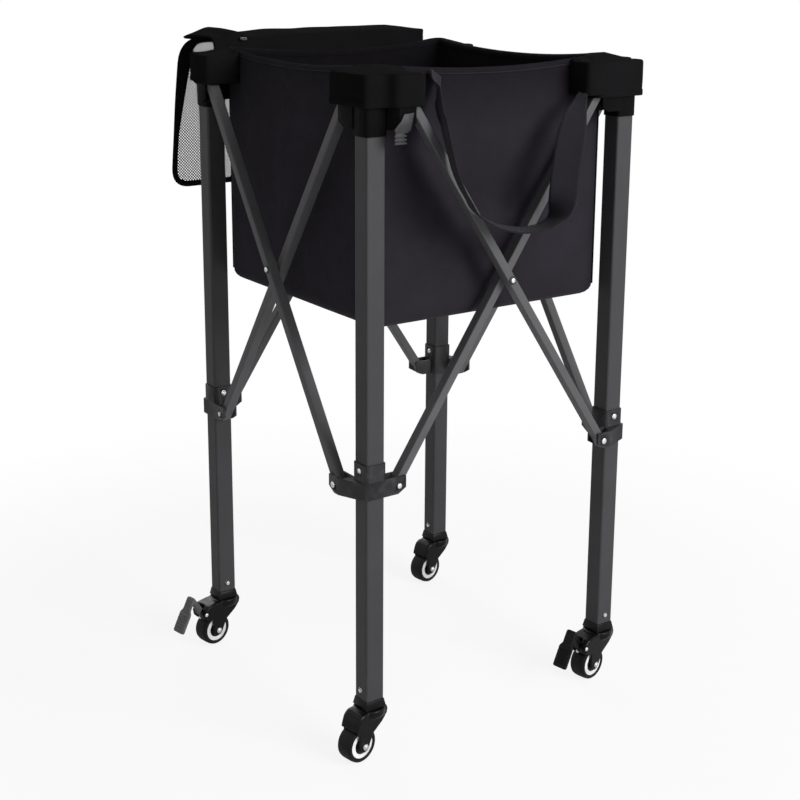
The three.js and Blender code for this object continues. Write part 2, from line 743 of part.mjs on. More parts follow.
// The net is one closed surface on a grid: odd columns of odd rows are its holes
function lidNet() {
  const x = lidWidth / 2 - lidBinding - clearance;
  const low = lidBinding + clearance;
  const high = lidLength - lidBinding - clearance;
  const columns = gridLines(-x, x, netColumns);
  const rows = gridLines(low, high, netRows);
  const face = netThickness / 2;
  const isCord = (column, row) => {
    const inside = column >= 0 && row >= 0 && column < columns.length - 1 && row < rows.length - 1;
    return inside && !(column % 2 === 1 && row % 2 === 1);
  };
  const corners = [];
  const quad = (...points) => {
    const [a, b, c, d] = points;
    corners.push(...a, ...b, ...c, ...a, ...c, ...d);
  };
  for (let i = 0; i < columns.length - 1; i += 1) {
    for (let j = 0; j < rows.length - 1; j += 1) {
      if (isCord(i, j)) {
        const [x0, x1, y0, y1] = [columns[i], columns[i + 1], rows[j], rows[j + 1]];
        quad([x0, y0, face], [x1, y0, face], [x1, y1, face], [x0, y1, face]);
        quad([x0, y0, -face], [x0, y1, -face], [x1, y1, -face], [x1, y0, -face]);
        if (!isCord(i, j - 1)) quad([x0, y0, -face], [x1, y0, -face], [x1, y0, face], [x0, y0, face]);
        if (!isCord(i, j + 1)) quad([x1, y1, -face], [x0, y1, -face], [x0, y1, face], [x1, y1, face]);
        if (!isCord(i - 1, j)) quad([x0, y1, -face], [x0, y0, -face], [x0, y0, face], [x0, y1, face]);
        if (!isCord(i + 1, j)) quad([x1, y0, -face], [x1, y1, -face], [x1, y1, face], [x1, y0, face]);
      }
    }
  }
  const geometry = new THREE.BufferGeometry();
  geometry.setAttribute('position', new THREE.Float32BufferAttribute(corners, 3));
  return geometry;
}

// Both edges of every cord, for a number of holes side by side
function gridLines(from, to, holes) {
  const pitch = (to - from - netCord) / holes;
  const lines = [];
  for (let cord = 0; cord <= holes; cord += 1) {
    lines.push(from + cord * pitch, from + cord * pitch + netCord);
  }
  return lines;
}

// Corner hood: a fabric pocket over a leg top, wide on the next side where the outer bar lies

function cornerHood() {
  const outline = (grow) => shapeOf([
    [-hoodSlim - grow, -hoodSlim - grow],
    [hoodRampStart - grow, -hoodSlim - grow],
    [hoodRampEnd - grow, -hoodFat - grow],
    [hoodArmTip + grow, -hoodFat - grow],
    [hoodArmTip + grow, hoodInnerFace + grow],
    [hoodInnerFace + grow, hoodInnerFace + grow],
    [hoodInnerFace + grow, hoodArmTip + grow],
    [-hoodSlim - grow, hoodArmTip + grow],
  ]);
  const outside = raised(outline(0), hoodBottom, hoodTop);
  const inside = raised(outline(-hoodFabric), hoodBottom - overrun, hoodTop - hoodFabric);
  return outside.subtract(inside);
}

// Carrying strap: webbing that leaves the wall, passes over the bars and hangs in a bow

// Places along the bow: how far across its span, how far out from the wall, and how far down its own side
const strapPlaceShares = [
  [0, 0.5, 0], [0.03, 1, 0.16], [0.12, 1, 0.5], [0.26, 1, 0.87], [0.53, 1, 1],
  [0.8, 1, 0.93], [0.94, 1, 0.7], [0.98, 1, 0.36], [1, 0.6, 0.06],
];

function strapPath() {
  const wall = -bagHalf - clearance - strapThickness / 2;
  const front = -legHalf - strapOut;
  const span = strapRight - strapLeft;
  const places = strapPlaceShares.map(([across, out, down]) => {
    const top = across * strapRightTop + (1 - across) * strapLeftTop;
    return [strapLeft + span * across, wall + (front - wall) * out, top + (strapLowest - top) * down];
  });
  const sewnEnd = (x, top) => [[x, wall, top - strapSewn], [x, wall - strapThickness, top]];
  const route = [
    ...sewnEnd(strapLeft, strapLeftTop),
    ...places,
    ...sewnEnd(strapRight, strapRightTop).reverse(),
  ];
  const points = route.map(([x, y, z]) => new THREE.Vector3(x - legHalf, y, z));
  return new THREE.CatmullRomCurve3(points, false, 'centripetal');
}

// The way the webbing's width points at a share of its length: flat to the wall at both ends,
// and turned out from the wall down its left side and under the bow
function strapAcross(share, tangent) {
  const [leaveShare, turnShare, backShare, flatShare] = [0.1, 0.26, 0.56, 0.8];
  const turned = THREE.MathUtils.smoothstep(share, leaveShare, turnShare);
  const back = THREE.MathUtils.smoothstep(share, backShare, flatShare);
  const turn = strapTwist * turned + (Math.PI - strapTwist) * back;
  const across = new THREE.Vector3(Math.cos(turn), Math.sin(turn), 0);
  return across.addScaledVector(tangent, -across.dot(tangent)).normalize();
}

function carryingStrap() {
  const path = strapPath();
  const corners = [[1, 1], [-1, 1], [-1, -1], [1, -1]];
  const positions = [];
  const index = [];
  for (let step = 0; step <= strapSteps; step += 1) {
    const share = step / strapSteps;
    const tangent = path.getTangentAt(share);
    const across = strapAcross(share, tangent);
    const normal = new THREE.Vector3().crossVectors(tangent, across);
    for (const [side, face] of corners) {
      const corner = path.getPointAt(share);
      corner.addScaledVector(across, side * strapWidth / 2);
      corner.addScaledVector(normal, face * strapThickness / 2);
      positions.push(corner.x, corner.y, corner.z);
    }
  }
  for (let step = 0; step < strapSteps; step += 1) {
    for (let corner = 0; corner < 4; corner += 1) {
      const a = step * 4 + corner;
      const b = step * 4 + (corner + 1) % 4;
      index.push(a, b, b + 4, a, b + 4, a + 4);
    }
  }
  const last = strapSteps * 4;
  index.push(0, 2, 1, 0, 3, 2, last, last + 1, last + 2, last, last + 2, last + 3);
  const geometry = new THREE.BufferGeometry();
  geometry.setAttribute('position', new THREE.Float32BufferAttribute(positions, 3));
  geometry.setIndex(index);
  return geometry;
}

// Assembly

const legNames = ['front', 'right', 'rear', 'left'];
const sideNames = ['front_right', 'right_rear', 'rear_left', 'left_front'];
const buttonSides = [-1, -1, 1, 1];
const braked = [false, true, false, true];

legNames.forEach((name, quarter) => {
  const group = legGroup(quarter);
  const buttonSide = buttonSides[quarter];
  show(`leg_${name}`, legTube(buttonSide), steel, group);
  show(`top_bracket_${name}`, topBracket(), moulded, group);
  show(`slider_${name}`, slider(buttonSide), moulded, group);
  show(`foot_plug_${name}`, footPlug(), moulded, group);
  show(`corner_hood_${name}`, cornerHood(), hoodCloth, group);
  const button = show(`snap_button_${name}`, snapButton(), bright, group);
  button.rotation.z = buttonSide > 0 ? Math.PI : 0;
});

sideNames.forEach((name, quarter) => {
  const turned = new THREE.Group();
  turned.rotation.z = quarter * Math.PI / 2;
  const side = new THREE.Group();
  side.position.set(-legHalf, -legHalf, 0);
  turned.add(side);
  cart.add(turned);
  placeBar(show(`outer_bar_${name}`, outerBar(), barSteel, side), farBarInnerFace, -barLean);
  placeBar(show(`inner_bar_${name}`, innerBar(), barSteel, side), barInnerFace, barLean);
  show(`bag_wall_${name}`, bagWall(), fabric, turned);
});

legNames.forEach((name, quarter) => {
  const at = new THREE.Vector3(-legHalf, -legHalf, 0);
  at.applyAxisAngle(new THREE.Vector3(0, 0, 1), quarter * Math.PI / 2);
  const caster = new THREE.Group();
  caster.position.copy(at);
  caster.rotation.z = casterHeading;
  cart.add(caster);
  show(`caster_fork_${name}`, casterFork(braked[quarter]), moulded, caster);
  show(`wheel_core_${name}`, wheelCore(), rimPlastic, caster);
  show(`tyre_${name}`, tyre(), tyreRubber, caster);
  if (braked[quarter]) {
    show(`brake_pedal_${name}`, brakePedal(), pedalPlastic, caster);
  }
});

show('bag_floor_left', floorHalf(-1), fabric, cart);
show('bag_floor_right', floorHalf(1), fabric, cart);
show('carrying_strap', carryingStrap(), webbing, cart);

show('lid_band', lidBand(), fabric, cart);

const lid = new THREE.Group();
lid.position.set(0, legHalf + lidSeamOut, lidSeamHeight);
lid.rotation.x = lidFallAngle;
cart.add(lid);
show('lid_border', lidBorder(), fabric, lid);
show('lid_net', lidNet(), netting, lid);

export default part;
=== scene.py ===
"""Folding ball cart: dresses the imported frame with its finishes, fabric, net and webbing."""
import json
import math

import bmesh
import bpy
from mathutils import Matrix, Vector, noise

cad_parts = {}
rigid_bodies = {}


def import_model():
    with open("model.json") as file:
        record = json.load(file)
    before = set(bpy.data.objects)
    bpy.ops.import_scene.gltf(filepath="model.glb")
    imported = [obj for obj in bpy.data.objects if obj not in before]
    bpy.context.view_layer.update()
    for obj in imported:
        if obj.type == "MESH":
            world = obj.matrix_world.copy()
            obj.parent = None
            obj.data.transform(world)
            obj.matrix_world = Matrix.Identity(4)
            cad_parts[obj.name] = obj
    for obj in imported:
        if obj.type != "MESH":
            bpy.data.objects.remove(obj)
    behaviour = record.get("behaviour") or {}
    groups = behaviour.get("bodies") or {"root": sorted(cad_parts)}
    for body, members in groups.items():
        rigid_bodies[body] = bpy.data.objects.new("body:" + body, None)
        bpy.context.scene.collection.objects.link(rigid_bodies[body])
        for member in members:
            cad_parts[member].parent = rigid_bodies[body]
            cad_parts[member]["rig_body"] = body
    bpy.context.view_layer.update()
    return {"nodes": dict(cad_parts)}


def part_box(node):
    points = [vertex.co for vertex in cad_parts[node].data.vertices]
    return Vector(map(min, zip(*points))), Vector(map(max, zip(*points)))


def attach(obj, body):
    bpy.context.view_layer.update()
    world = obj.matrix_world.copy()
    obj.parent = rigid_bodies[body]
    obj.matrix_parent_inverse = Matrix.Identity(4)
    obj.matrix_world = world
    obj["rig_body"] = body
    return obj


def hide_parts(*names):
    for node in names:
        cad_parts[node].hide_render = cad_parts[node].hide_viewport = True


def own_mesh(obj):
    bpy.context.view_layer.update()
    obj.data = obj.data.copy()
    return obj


bl_info = {
    "name": "Ball Cart",
    "version": (1, 0, 0),
    "blender": (4, 5, 0),
    "location": "3D View > Sidebar > Ball Cart",
    "description": "Builds the finished look of a folding ball cart on its packed frame",
    "category": "Add Mesh",
}

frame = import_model()

MM = 0.001
LEGS = ("front", "right", "rear", "left")
SIDES = ("front_right", "right_rear", "rear_left", "left_front")
BRAKED = ("right", "left")

# The frame's own sizes, in millimetres, read from its nodes
leg_low, leg_high = (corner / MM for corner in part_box("leg_front"))
right_low, right_high = (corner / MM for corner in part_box("leg_right"))
tube_half = (leg_high.x - leg_low.x) / 2
leg_spacing = right_low.x - leg_low.x
leg_half = leg_spacing / 2
cart_x = (leg_low.x + right_high.x) / 2
cart_y = (leg_low.y + leg_high.y) / 2 + leg_half
tube_bottom = leg_low.z
tube_top = leg_high.z
wall_low, wall_high = (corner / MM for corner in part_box("bag_wall_front_right"))
bag_half = cart_y - wall_low.y
bag_bottom = wall_low.z
bag_rim = wall_high.z
hood_low, hood_high = (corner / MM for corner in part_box("corner_hood_front"))

# The scissor bars' pivots: out from a leg's middle, and on the slider and the top bracket
PIVOT_OUT = 35
SLIDER_PIVOT = 382
top_pivot = tube_top - 19
pivot_span = leg_spacing - 2 * PIVOT_OUT
pivot_rise = top_pivot - SLIDER_PIVOT


def srgb(red, green, blue):
    """A colour as a screen shows it, from 0 to 255, in the linear values that Blender uses."""
    def linear(value):
        share = value / 255
        return share / 12.92 if share <= 0.04045 else ((share + 0.055) / 1.055) ** 2.4
    return (linear(red), linear(green), linear(blue))


# Placing

def at_quarter(quarter):
    """Turns a drawing from the front to another side of the cart, and scales it to metres."""
    middle = Matrix.Translation((cart_x * MM, cart_y * MM, 0))
    turn = Matrix.Rotation(quarter * math.pi / 2, 4, "Z")
    return middle @ turn @ Matrix.Diagonal((MM, MM, MM, 1))


def at_leg(quarter):
    """Places a drawing whose origin is on the floor under a leg's middle."""
    return at_quarter(quarter) @ Matrix.Translation((-leg_half, -leg_half, 0))


def in_frame():
    return Matrix.Diagonal((MM, MM, MM, 1))


# Mesh helpers, all in millimetres

def on_axis(axis, a, b, along):
    if axis == "x":
        return (along, a, b)
    if axis == "y":
        return (a, along, b)
    return (a, b, along)


def bevel_edges(shape, faces, width, segments=2):
    """Rounds every edge of these faces that turns by more than 25 degrees."""
    edges = dict.fromkeys(edge for face in faces for edge in face.edges)
    sharp = [edge for edge in edges if len(edge.link_faces) == 2
             and edge.calc_face_angle(0) > math.radians(25)]
    bmesh.ops.bevel(shape, geom=sharp, offset=width, segments=segments, profile=0.5,
                    affect="EDGES", clamp_overlap=True)


def smooth_share(value, low, high):
    """0 up to low and 1 from high on, with a smooth rise between them."""
    share = min(1.0, max(0.0, (value - low) / (high - low)))
    return share * share * (3 - 2 * share)


def join_rings(shape, rings, ring_closed=True, loop_closed=False):
    """Adds the faces between each ring of points and the next."""
    count = len(rings[0])
    faces = []
    for k in range(len(rings) if loop_closed else len(rings) - 1):
        this, after = rings[k], rings[(k + 1) % len(rings)]
        for i in range(count if ring_closed else count - 1):
            j = (i + 1) % count
            faces.append(shape.faces.new((this[i], this[j], after[j], after[i])))
    return faces


def close_ends(shape, rings):
    return [shape.faces.new(rings[0][::-1]), shape.faces.new(rings[-1])]


def prism(shape, outline, axis, low, high, round_by=0.0):
    """An outline in the plane of the other two axes, given a depth along an axis."""
    rings = [[shape.verts.new(on_axis(axis, a, b, along)) for a, b in outline]
             for along in (low, high)]
    faces = close_ends(shape, rings) + join_rings(shape, rings)
    bmesh.ops.recalc_face_normals(shape, faces=faces)
    if round_by:
        bevel_edges(shape, faces, round_by)


def long_tube(shape, half_a, half_b, corner, low, high):
    """A square bar along z, with points close beside its edges so that the paler edges, partly
    rubbed wear and partly painted highlight, stay on them.
    """
    loop = rounded_rectangle(half_a, half_b, corner, 4)
    outline = []
    for i, point in enumerate(loop):
        after = loop[(i + 1) % len(loop)]
        outline.append(Vector(point))
        gap = math.dist(point, after)
        if gap > 3:
            for share in (1 / gap, 0.5, 1 - 1 / gap):
                outline.append(Vector(point).lerp(Vector(after), share))
    spans = max(2, round((high - low) / 45))
    inner = [low + 2 + (high - low - 4) * i / spans for i in range(spans + 1)]
    levels = [(low, 0.93), (low + 0.5, 1), *((z, 1) for z in inner), (high - 0.5, 1), (high, 0.93)]
    rings = [[shape.verts.new((p.x * grow, p.y * grow, z)) for p in outline]
             for z, grow in levels]
    join_rings(shape, rings)
    close_ends(shape, rings)


def lathe(shape, profile, axis, centre, steps, closed=True):
    """A body of revolution: the profile's points are (radius, place along the axis)."""
    rings = []
    for step in range(steps):
        turn = 2 * math.pi * step / steps
        across, up = math.cos(turn), math.sin(turn)
        rings.append([shape.verts.new(
            Vector(on_axis(axis, radius * across, radius * up, along)) + Vector(centre))
            for radius, along in profile])
    join_rings(shape, rings, closed, True)
    bmesh.ops.remove_doubles(shape, verts=[v for ring in rings for v in ring], dist=1e-4)


def dome(shape, axis, sign, centre, radius, rise, steps=20):
    """A rivet or button head: a short wall with a domed end, which stands on its centre."""
    levels, wall_share = 5, 0.35
    profile = [(radius, 0), (radius, sign * rise * wall_share)]
    for level in range(1, levels + 1):
        turn = math.pi / 2 * level / levels
        height = rise * (wall_share + (1 - wall_share) * math.sin(turn))
        profile.append((radius * math.cos(turn), sign * height))
    lathe(shape, profile, axis, centre, steps, closed=False)


def dome_pair(shape, axis, a, b, out, radius, rise):
    """The same head on each side of the drawing's middle plane."""
    for sign in (-1, 1):
        dome(shape, axis, sign, on_axis(axis, a, b, sign * out), radius, rise)


def plate_pair(shape, outline, near, far, round_by=0.0):
    """The same plate on each side of the drawing's middle plane."""
    for sign in (-1, 1):
        prism(shape, outline, "y", *sorted((sign * near, sign * far)), round_by)


def arc(centre, radius, start, end, segments):
    """Points of an arc between two angles in degrees."""
    points = []
    for i in range(segments + 1):
        turn = math.radians(start + (end - start) * i / segments)
        points.append((centre[0] + radius * math.cos(turn), centre[1] + radius * math.sin(turn)))
    return points


def rectangle(a_low, a_high, b_low, b_high):
    return [(a_low, b_low), (a_high, b_low), (a_high, b_high), (a_low, b_high)]


def rounded_rectangle(half_a, half_b, radius, segments=4):
    a, b = half_a - radius, half_b - radius
    return (arc((a, b), radius, 0, 90, segments) + arc((-a, b), radius, 90, 180, segments)
            + arc((-a, -b), radius, 180, 270, segments)
            + arc((a, -b), radius, 270, 360, segments))


def corner_curve(before, here, after, reach_in, reach_out, segments):
    """A corner turned into a smooth curve that leaves its two sides this far from it."""
    start = here + (before - here).normalized() * reach_in
    end = here + (after - here).normalized() * reach_out
    shares = [k / segments for k in range(segments + 1)]
    return [start * (1 - share) ** 2 + here * 2 * share * (1 - share) + end * share ** 2
            for share in shares]


def rounded_loop(points, radius, segments=5):
    """An outline with each corner made smooth, also where the outline turns inward."""
    loop = []
    count = len(points)
    for i in range(count):
        before, here, after = (Vector(points[(i + k) % count]) for k in (-1, 0, 1))
        reach_in = min(radius, (before - here).length * 0.45)
        reach_out = min(radius, (after - here).length * 0.45)
        loop += corner_curve(before, here, after, reach_in, reach_out, segments)
    return loop


def evenly(points, count):
    """Points at equal distances along a path."""
    lengths = [0.0]
    for a, b in zip(points, points[1:]):
        lengths.append(lengths[-1] + (b - a).length)
    made = []
    at = 0
    for i in range(count + 1):
        want = lengths[-1] * i / count
        while at < len(points) - 2 and lengths[at + 1] < want:
            at += 1
        share = (want - lengths[at]) / max(1e-9, lengths[at + 1] - lengths[at])
        made.append(points[at].lerp(points[at + 1], min(1, share)))
    return made, lengths[-1]


def even_loop(loop, pitch):
    """The same outline with points about a pitch apart."""
    round_trip = loop + loop[:1]
    length = sum((b - a).length for a, b in zip(round_trip, round_trip[1:]))
    return evenly(round_trip, max(8, round(length / pitch)))[0][:-1]


def grown_loop(loop, grow):
    """An anticlockwise outline moved outward by a distance."""
    made = []
    count = len(loop)
    for i in range(count):
        run = (loop[(i + 1) % count] - loop[i - 1]).normalized()
        made.append(loop[i] + Vector((run.y, -run.x)) * grow)
    return made


def grid(shape, columns, rows, point, marks=None):
    """A sheet of quads: point gives a place, and marks gives its flat place in metres."""
    flat = shape.loops.layers.uv.verify()
    verts = []
    flats = {}
    for row in range(rows + 1):
        line = []
        for column in range(columns + 1):
            s, t = column / columns, row / rows
            vert = shape.verts.new(point(s, t))
            flats[vert] = marks(s, t) if marks else (s, t)
            line.append(vert)
        verts.append(line)
    for row in range(rows):
        for column in range(columns):
            face = shape.faces.new((verts[row][column], verts[row][column + 1],
                                    verts[row + 1][column + 1], verts[row + 1][column]))
            for loop in face.loops:
                loop[flat].uv = flats[loop.vert]
    return verts


def tube_along(shape, path, radius, sides, flat_share=1.0):
    """A round or oval cord along a path of points."""
    rings = []
    last = len(path) - 1
    turns = [2 * math.pi * k / sides for k in range(sides)]
    for i, point in enumerate(path):
        run = (path[min(i + 1, last)] - path[max(i - 1, 0)]).normalized()
        side = run.cross(Vector((0, 0, 1)))
        if side.length < 0.05:
            side = run.cross(Vector((1, 0, 0)))
        side.normalize()
        up = side.cross(run)
        rings.append([shape.verts.new(point + side * radius * math.cos(turn)
                                      + up * radius * flat_share * math.sin(turn))
                      for turn in turns])
    join_rings(shape, rings)
    close_ends(shape, rings)


def make_piece(name, shape, place, finish, smooth_angle=38, turn_out=True):
    """Turns a drawing into an object, placed in the frame and smooth between sharp edges."""
    bmesh.ops.transform(shape, matrix=place, verts=shape.verts)
    if turn_out:
        bmesh.ops.recalc_face_normals(shape, faces=shape.faces)
    mesh = bpy.data.meshes.new(name)
    shape.to_mesh(mesh)
    shape.free()
    mesh.materials.append(finish_named(finish))
    mesh.shade_smooth()
    mesh.set_sharp_from_angle(angle=math.radians(smooth_angle))
    piece = bpy.data.objects.new(name, mesh)
    bpy.context.scene.collection.objects.link(piece)
    return piece


def apply_modifiers(piece):
    """Makes the modifiers part of the mesh."""
    graph = bpy.context.evaluated_depsgraph_get()
    mesh = bpy.data.meshes.new_from_object(piece.evaluated_get(graph))
    piece.modifiers.clear()
    piece.data = mesh
    return piece


def thicken(piece, thickness, offset=-1):
    """Gives a sheet its thickness, inward from its own face when the offset is -1."""
    solidify = piece.modifiers.new("Thickness", "SOLIDIFY")
    solidify.thickness = thickness * MM
    solidify.offset = offset
    return apply_modifiers(piece)


def body_holding(node):
    return frame["nodes"][node]["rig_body"]


def stands_for(piece, node, slot, *others):
    """The piece replaces a node and moves with the node's body; its slot is not used."""
    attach(piece, body_holding(node))
    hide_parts(node, *others)
    return piece


def goes_with(piece, body):
    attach(piece, body)
    return piece


def rounded_copy(node, name, finish, width):
    """The node's own shape with its flat faces merged and its edges rounded."""
    shape = bmesh.new()
    shape.from_mesh(frame["nodes"][node].data)
    bmesh.ops.scale(shape, vec=(1 / MM, 1 / MM, 1 / MM), verts=shape.verts)
    bmesh.ops.remove_doubles(shape, verts=shape.verts, dist=0.01)
    bmesh.ops.dissolve_limit(shape, angle_limit=math.radians(1.5), verts=shape.verts,
                             edges=shape.edges)
    bevel_edges(shape, list(shape.faces), width)
    return make_piece(name, shape, in_frame(), finish)


def moulded(piece, voxel=0.8, rounds=5, keep=0.5):
    """Unites a drawing's overlapping bodies and softens every edge, as a moulding's edges are."""
    finish = piece.data.materials[0]
    even = piece.modifiers.new("Even", "REMESH")
    even.mode = "VOXEL"
    even.voxel_size = voxel * MM
    soft = piece.modifiers.new("Soft", "SMOOTH")
    soft.factor = 0.5
    soft.iterations = rounds
    fewer = piece.modifiers.new("Fewer", "DECIMATE")
    fewer.ratio = keep
    apply_modifiers(piece)
    piece.data.materials.clear()
    piece.data.materials.append(finish)
    piece.data.shade_smooth()
    return piece


# Finishes

class Finish:
    """A material being wired: it adds nodes and joins them."""

    def __init__(self, name, colour, roughness, metallic=0.0, specular=0.5):
        self.material = bpy.data.materials.new(name)
        self.material.use_nodes = True
        self.tree = self.material.node_tree
        self.shader = self.tree.nodes["Principled BSDF"]
        self.colour = (*colour, 1.0)
        self.shader.inputs["Base Color"].default_value = self.colour
        self.shader.inputs["Roughness"].default_value = roughness
        self.shader.inputs["Metallic"].default_value = metallic
        self.shader.inputs["Specular IOR Level"].default_value = specular
        self.material.diffuse_color = self.colour
        self.height = None

    def add(self, kind, **settings):
        node = self.tree.nodes.new(kind)
        for key, value in settings.items():
            setattr(node, key, value)
        return node

    def join(self, source, target):
        self.tree.links.new(source, target)

    def place(self):
        return self.add("ShaderNodeTexCoord").outputs["Object"]

    def flat_place(self):
        return self.add("ShaderNodeUVMap").outputs["UV"]

    def noise(self, place, size, detail=4.0, roughness=0.55):
        """Soft noise whose patches are about this size, in metres."""
        node = self.add("ShaderNodeTexNoise")
        node.inputs["Scale"].default_value = 1 / size
        node.inputs["Detail"].default_value = detail
        node.inputs["Roughness"].default_value = roughness
        self.join(place, node.inputs["Vector"])
        return node.outputs["Fac"]

    def spread(self, value, low, high, from_low=0.3, from_high=0.7, curve="LINEAR"):
        """Maps a value's own range to low and high."""
        node = self.add("ShaderNodeMapRange", interpolation_type=curve)
        for key, number in (("From Min", from_low), ("From Max", from_high),
                            ("To Min", low), ("To Max", high)):
            node.inputs[key].default_value = number
        self.join(value, node.inputs["Value"])
        return node.outputs["Result"]

    def math(self, operation, a, b=None):
        node = self.add("ShaderNodeMath", operation=operation)
        for socket, value in zip(node.inputs, (a, b)):
            if isinstance(value, (int, float)):
                socket.default_value = value
            elif value is not None:
                self.join(value, socket)
        return node.outputs[0]

    def vector_math(self, operation, source, constant=None):
        node = self.add("ShaderNodeVectorMath", operation=operation)
        self.join(source, node.inputs[0])
        if constant:
            node.inputs[1].default_value = constant
        return node

    def mix_colour(self, share, first, second):
        node = self.add("ShaderNodeMix", data_type="RGBA")
        for key, value in ((0, share), (6, first), (7, second)):
            if isinstance(value, (tuple, int, float)):
                node.inputs[key].default_value = value
            else:
                self.join(value, node.inputs[key])
        return node.outputs[2]

    def shade(self, factor):
        colour = tuple(min(1.0, part * factor) for part in self.colour[:3])
        return (*colour, 1.0)

    def use_colour(self, colour):
        self.join(colour, self.shader.inputs["Base Color"])

    def mottled(self, place, size, dark, light):
        """The colour in patches of this size, from a darker to a lighter shade."""
        share = self.spread(self.noise(place, size), 0, 1)
        return self.mix_colour(share, self.shade(dark), self.shade(light))

    def worn_and_highlit_edges(self, place, sharpest, size, most, low, high):
        """The share that is rubbed off and painted as a highlight: 0 on flat faces and at most this
        much on edges.
        """
        pointed = self.add("ShaderNodeNewGeometry").outputs["Pointiness"]
        edge = self.spread(pointed, 0, 1, 0.52, sharpest)
        patches = self.spread(self.noise(place, size), 0, most, low, high)
        return self.math("MULTIPLY", edge, patches)

    def vary_roughness(self, place, size, low, high):
        value = self.spread(self.noise(place, size), low, high)
        self.join(value, self.shader.inputs["Roughness"])

    def set_sheen(self, weight, roughness):
        self.shader.inputs["Sheen Weight"].default_value = weight
        self.shader.inputs["Sheen Roughness"].default_value = roughness

    def raise_by(self, height, depth):
        """Adds a bump of this depth in metres to what is already there."""
        bump = self.add("ShaderNodeBump")
        bump.inputs["Strength"].default_value = 1.0
        bump.inputs["Distance"].default_value = depth
        self.join(height, bump.inputs["Height"])
        if self.height is not None:
            self.join(self.height, bump.inputs["Normal"])
        self.height = bump.outputs["Normal"]
        self.join(self.height, self.shader.inputs["Normal"])


def thread_height(finish, flat, across, along):
    """Threads over and under each other, this far apart, from the flat place of the cloth."""
    scaled = finish.vector_math("MULTIPLY", flat, (math.pi / across, math.pi / along, 1))
    waves = finish.vector_math("SINE", scaled.outputs[0])
    parts = finish.add("ShaderNodeSeparateXYZ")
    finish.join(waves.outputs[0], parts.inputs[0])
    return finish.math("ABSOLUTE", finish.math("MULTIPLY", parts.outputs[0], parts.outputs[1]))


def powder_coat(name, colour):
    """Satin paint on steel: a fine orange peel, faint mottling and paler edges, partly rubbed and
    partly a painted highlight.
    """
    finish = Finish(name, colour, 0.42, 0.0, 0.18)
    place = finish.place()
    rub_and_highlight = finish.worn_and_highlit_edges(place, 0.6, 0.03, 0.6, 0.45, 0.7)
    mottle = finish.mottled(place, 0.05, 0.95, 1.05)
    # Paler edges: partly rubbed paint and partly a painted highlight.
    finish.use_colour(finish.mix_colour(rub_and_highlight, mottle, finish.shade(2.4)))
    finish.vary_roughness(place, 0.02, 0.4, 0.48)
    finish.raise_by(finish.noise(place, 0.0011, 2.0), 0.00006)
    return finish.material


def moulded_plastic(name, colour, roughness=0.45, specular=0.25):
    """Injection moulded nylon: a fine spark grain, slight flow marks and paler corners, partly
    scuffed and partly painted glints.
    """
    finish = Finish(name, colour, roughness, 0.0, specular)
    place = finish.place()
    scuff_and_glint = finish.worn_and_highlit_edges(place, 0.62, 0.012, 0.5, 0.5, 0.72)
    flow = finish.mottled(place, 0.03, 0.85, 1.2)
    # Paler corners: partly scuffed and partly painted glints.
    finish.use_colour(finish.mix_colour(scuff_and_glint, flow, finish.shade(3.0)))
    finish.vary_roughness(place, 0.008, roughness - 0.07, roughness + 0.1)
    finish.raise_by(finish.noise(place, 0.0008, 2.0), 0.00008)
    return finish.material


def bright_metal(name, colour):
    """Zinc-plated steel with fine turning marks."""
    finish = Finish(name, colour, 0.28, 1.0)
    place = finish.place()
    finish.vary_roughness(place, 0.002, 0.2, 0.42)
    finish.use_colour(finish.mottled(place, 0.004, 0.85, 1.05))
    finish.raise_by(finish.noise(place, 0.0006, 1.0), 0.00003)
    return finish.material


def rubber(name, colour):
    """Tyre rubber: satin, faintly dusty where it rolls."""
    finish = Finish(name, colour, 0.5, 0.0, 0.15)
    place = finish.place()
    dust = finish.spread(finish.noise(place, 0.009), 0, 0.35, 0.45, 0.75)
    finish.use_colour(finish.mix_colour(dust, finish.colour, finish.shade(1.8)))
    finish.vary_roughness(place, 0.004, 0.42, 0.58)
    finish.raise_by(finish.noise(place, 0.0007, 3.0), 0.00012)
    return finish.material


def facing_the_middle(finish, place):
    """1 on the side of the cloth that faces the middle of the bag, 0 on its outer side."""
    out = finish.vector_math("SUBTRACT", place, (cart_x * MM, cart_y * MM, 0))
    level = finish.vector_math("MULTIPLY", out.outputs[0], (1, 1, 0))
    facing = finish.vector_math("DOT_PRODUCT", level.outputs[0])
    finish.join(finish.add("ShaderNodeNewGeometry").outputs["Normal"], facing.inputs[1])
    return finish.spread(facing.outputs["Value"], 1, 0, -0.03, 0.0)


def painted_rim_shade(finish, place):
    """0 down the bag and 1 at its rim: painted shade, the cloth darker near the rim where the hoods
    and the lid shade it.
    """
    fades_from, dark_from = 90, 25
    parts = finish.add("ShaderNodeSeparateXYZ")
    finish.join(place, parts.inputs[0])
    return finish.spread(parts.outputs["Z"], 0, 1, (bag_rim - fades_from) * MM,
                         (bag_rim - dark_from) * MM)


